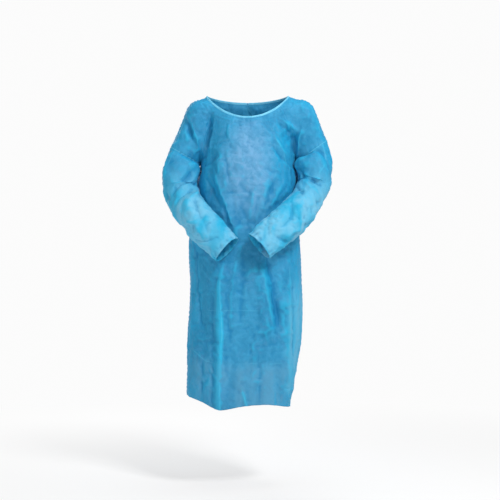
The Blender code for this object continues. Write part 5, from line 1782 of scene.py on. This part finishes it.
# %% Sew every seam
cloth_tree = BVHTree.FromPolygons(fine_points.tolist(), fine_faces.tolist())


def beside_path(numbers, aside, lift=0.00012):
    """A path on the cloth beside the given points of the sheet, aside to its left seen from outside."""
    path = fine_points[numbers]
    along, out = unit(np.gradient(path, axis=0)), fine_normals[numbers]
    found = []
    for spot in path + aside * unit(np.cross(out, along)):
        near, normal, _, _ = cloth_tree.find_nearest(Vector(spot))
        found.append(np.array(near) + lift * np.array(normal))
    return np.array(found)


def sewn(name, path, tree):
    curve = bpy.data.curves.new(name, "CURVE")
    curve.dimensions = "3D"
    line = curve.splines.new("POLY")
    line.points.add(len(path) - 1)
    line.points.foreach_set("co", np.append(path, np.ones((len(path), 1)), axis=1).ravel())
    piece = linked(name, curve)
    sewing = piece.modifiers.new("sewing", "NODES")
    sewing.node_group = tree.tree
    for title, value in (("Step", STEP), ("Stitch length", STITCH), ("Thread thickness", THREAD)):
        sewing[tree.input_key(title)] = value
    return evaluated_copy(piece)


def joined_mesh(name, meshes, finish):
    shape = bmesh.new()
    for mesh in meshes:
        shape.from_mesh(mesh)
    mesh = bpy.data.meshes.new(name)
    shape.to_mesh(mesh)
    shape.free()
    mesh.materials.clear()
    mesh.materials.append(finish)
    mesh.shade_smooth()
    return linked(name, mesh)


sewing = sewing_tree(thread)
rows = []
for name, path in seams.items():
    for aside in (-0.0016, 0.0016) if name.startswith("armhole") else (0.0016,):
        rows.append(sewn(name, beside_path(path, aside), sewing))
for side, label in SIDES:
    rings = numbers_of(f"sleeve_{label}")
    last = len(rings) - 1
    for row in (last - 1, last - 2):
        rows.append(sewn(f"cuff_{label}", beside_path(np.append(rings[row], rings[row, 0]), 0.0), sewing))
edge_path = neck_path + (0.80 * BINDING_WIDTH) * neck_down + (BINDING_PLY * 0.75 + 0.0002) * neck_out
rows.append(sewn("binding", edge_path, sewing))
stitches = joined_mesh("gown_stitches", rows, thread)
print("stitches:", len(stitches.data.polygons), "faces")

# %% [markdown]
# ## Put each piece in place
#
# Every piece of cloth takes its finish, rides on the root, and hides the part of the plain model that
# it replaces. The sizes of its cut are read from the flat map and from the lengths of the strips.

# %% Ride and replace
for name, piece in pieces.items():
    piece.data.materials.append(cloth_finish)
    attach(piece, "root")
    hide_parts(name)
    width, length, area = cuts[name]
    min(area, width * length)
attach(stitches, "root")
binding.data.materials.append(binding_finish)
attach(binding, "root")
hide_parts("neck_binding")
for name, (piece, length) in ties.items():
    piece.data.materials.append(tie_finish)
    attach(piece, "root")
    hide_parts(name)
    if length:
        width = (0.8 if "loop" in name else 1.0) * TIE_WIDTH

# %% [markdown]
# ## Camera, floor and lights
#
# The gown hangs where a wearer's shoulders would hold it, clear of the floor. The camera looks
# straight at its front from far off, so its lines stay upright. Room and floor are white and almost
# without a shadow. One softbox from the upper right draws the creases, and three weaker ones keep
# the far side, the shoulders and the back from going dark.

# %% Camera and floor
def aimed(thing, place, target):
    thing.location = place
    thing.rotation_euler = (Vector(target) - Vector(place)).to_track_quat("-Z", "Y").to_euler()


CENTRE = (0.009, 0.0, -0.562)
CAMERA_PLACE = (0.009, -4.695, -0.562)
camera = linked("camera", bpy.data.cameras.new("camera"))
aimed(camera, CAMERA_PLACE, CENTRE)
camera.data.angle = math.radians(22)
bpy.context.scene.camera = camera

FLOOR_Z = -1.416
floor_mesh = bpy.data.meshes.new("floor")
corners = [(x, y, FLOOR_Z) for x, y in ((-8, -8), (8, -8), (8, 8), (-8, 8))]
floor_mesh.from_pydata(corners, [], [(0, 1, 2, 3)])
floor = linked("floor", floor_mesh)


def floor_finish():
    """Pale paper that is lit where the gown stands and fades into the white room further out."""
    material, shade = new_material("studio floor")
    x, y, _ = shade.add("ShaderNodeTexCoord", output=3).split()
    away = (x * x + y * y).math("SQRT")
    paper = shade.add("ShaderNodeBsdfDiffuse", (), {"Color": colour(0.88, 0.88, 0.88)})
    glow = shade.add("ShaderNodeEmission", (), {"Color": colour(0.97, 0.97, 0.97)})
    share = {0: 0.45 + 0.55 * away.from_to(0.6, 2.6), 1: paper, 2: glow}
    finish_material(shade, shade.add("ShaderNodeMixShader", (), share))
    return material


floor_mesh.materials.append(floor_finish())

# %% A white room: bright round the horizon and dimmer above and below
def studio_world():
    world = bpy.data.worlds.new("studio")
    world.use_nodes = True
    tree = world.node_tree
    tree.nodes.clear()
    shade = Shade(tree)
    _, _, up = shade.add("ShaderNodeTexCoord", output=0).split()
    strength = 0.26 + 0.71 * abs(up).from_to(0.36, 0.21)
    background = shade.add("ShaderNodeBackground", (), {"Color": colour(1.0, 1.0, 1.0), "Strength": strength})
    output = tree.nodes.new("ShaderNodeOutputWorld")
    tree.links.new(background.socket, output.inputs["Surface"])
    return world


bpy.context.scene.world = studio_world()
bpy.context.scene.view_settings.view_transform = "Standard"


def softbox(name, place, size, power, target=CENTRE):
    lamp = bpy.data.lights.new(name, "AREA")
    lamp.energy, lamp.size = power, size
    aimed(linked(name, lamp), place, target)


softbox("key", (1.5, -2.5, 1.9), 0.9, 105, (0.0, 0.0, -0.35))
softbox("fill", (-1.3, -3.4, -0.7), 1.6, 22)
softbox("overhead", (0.3, 0.2, 2.4), 2.0, 30)
softbox("behind", (-1.2, 3.0, 0.6), 1.6, 60)
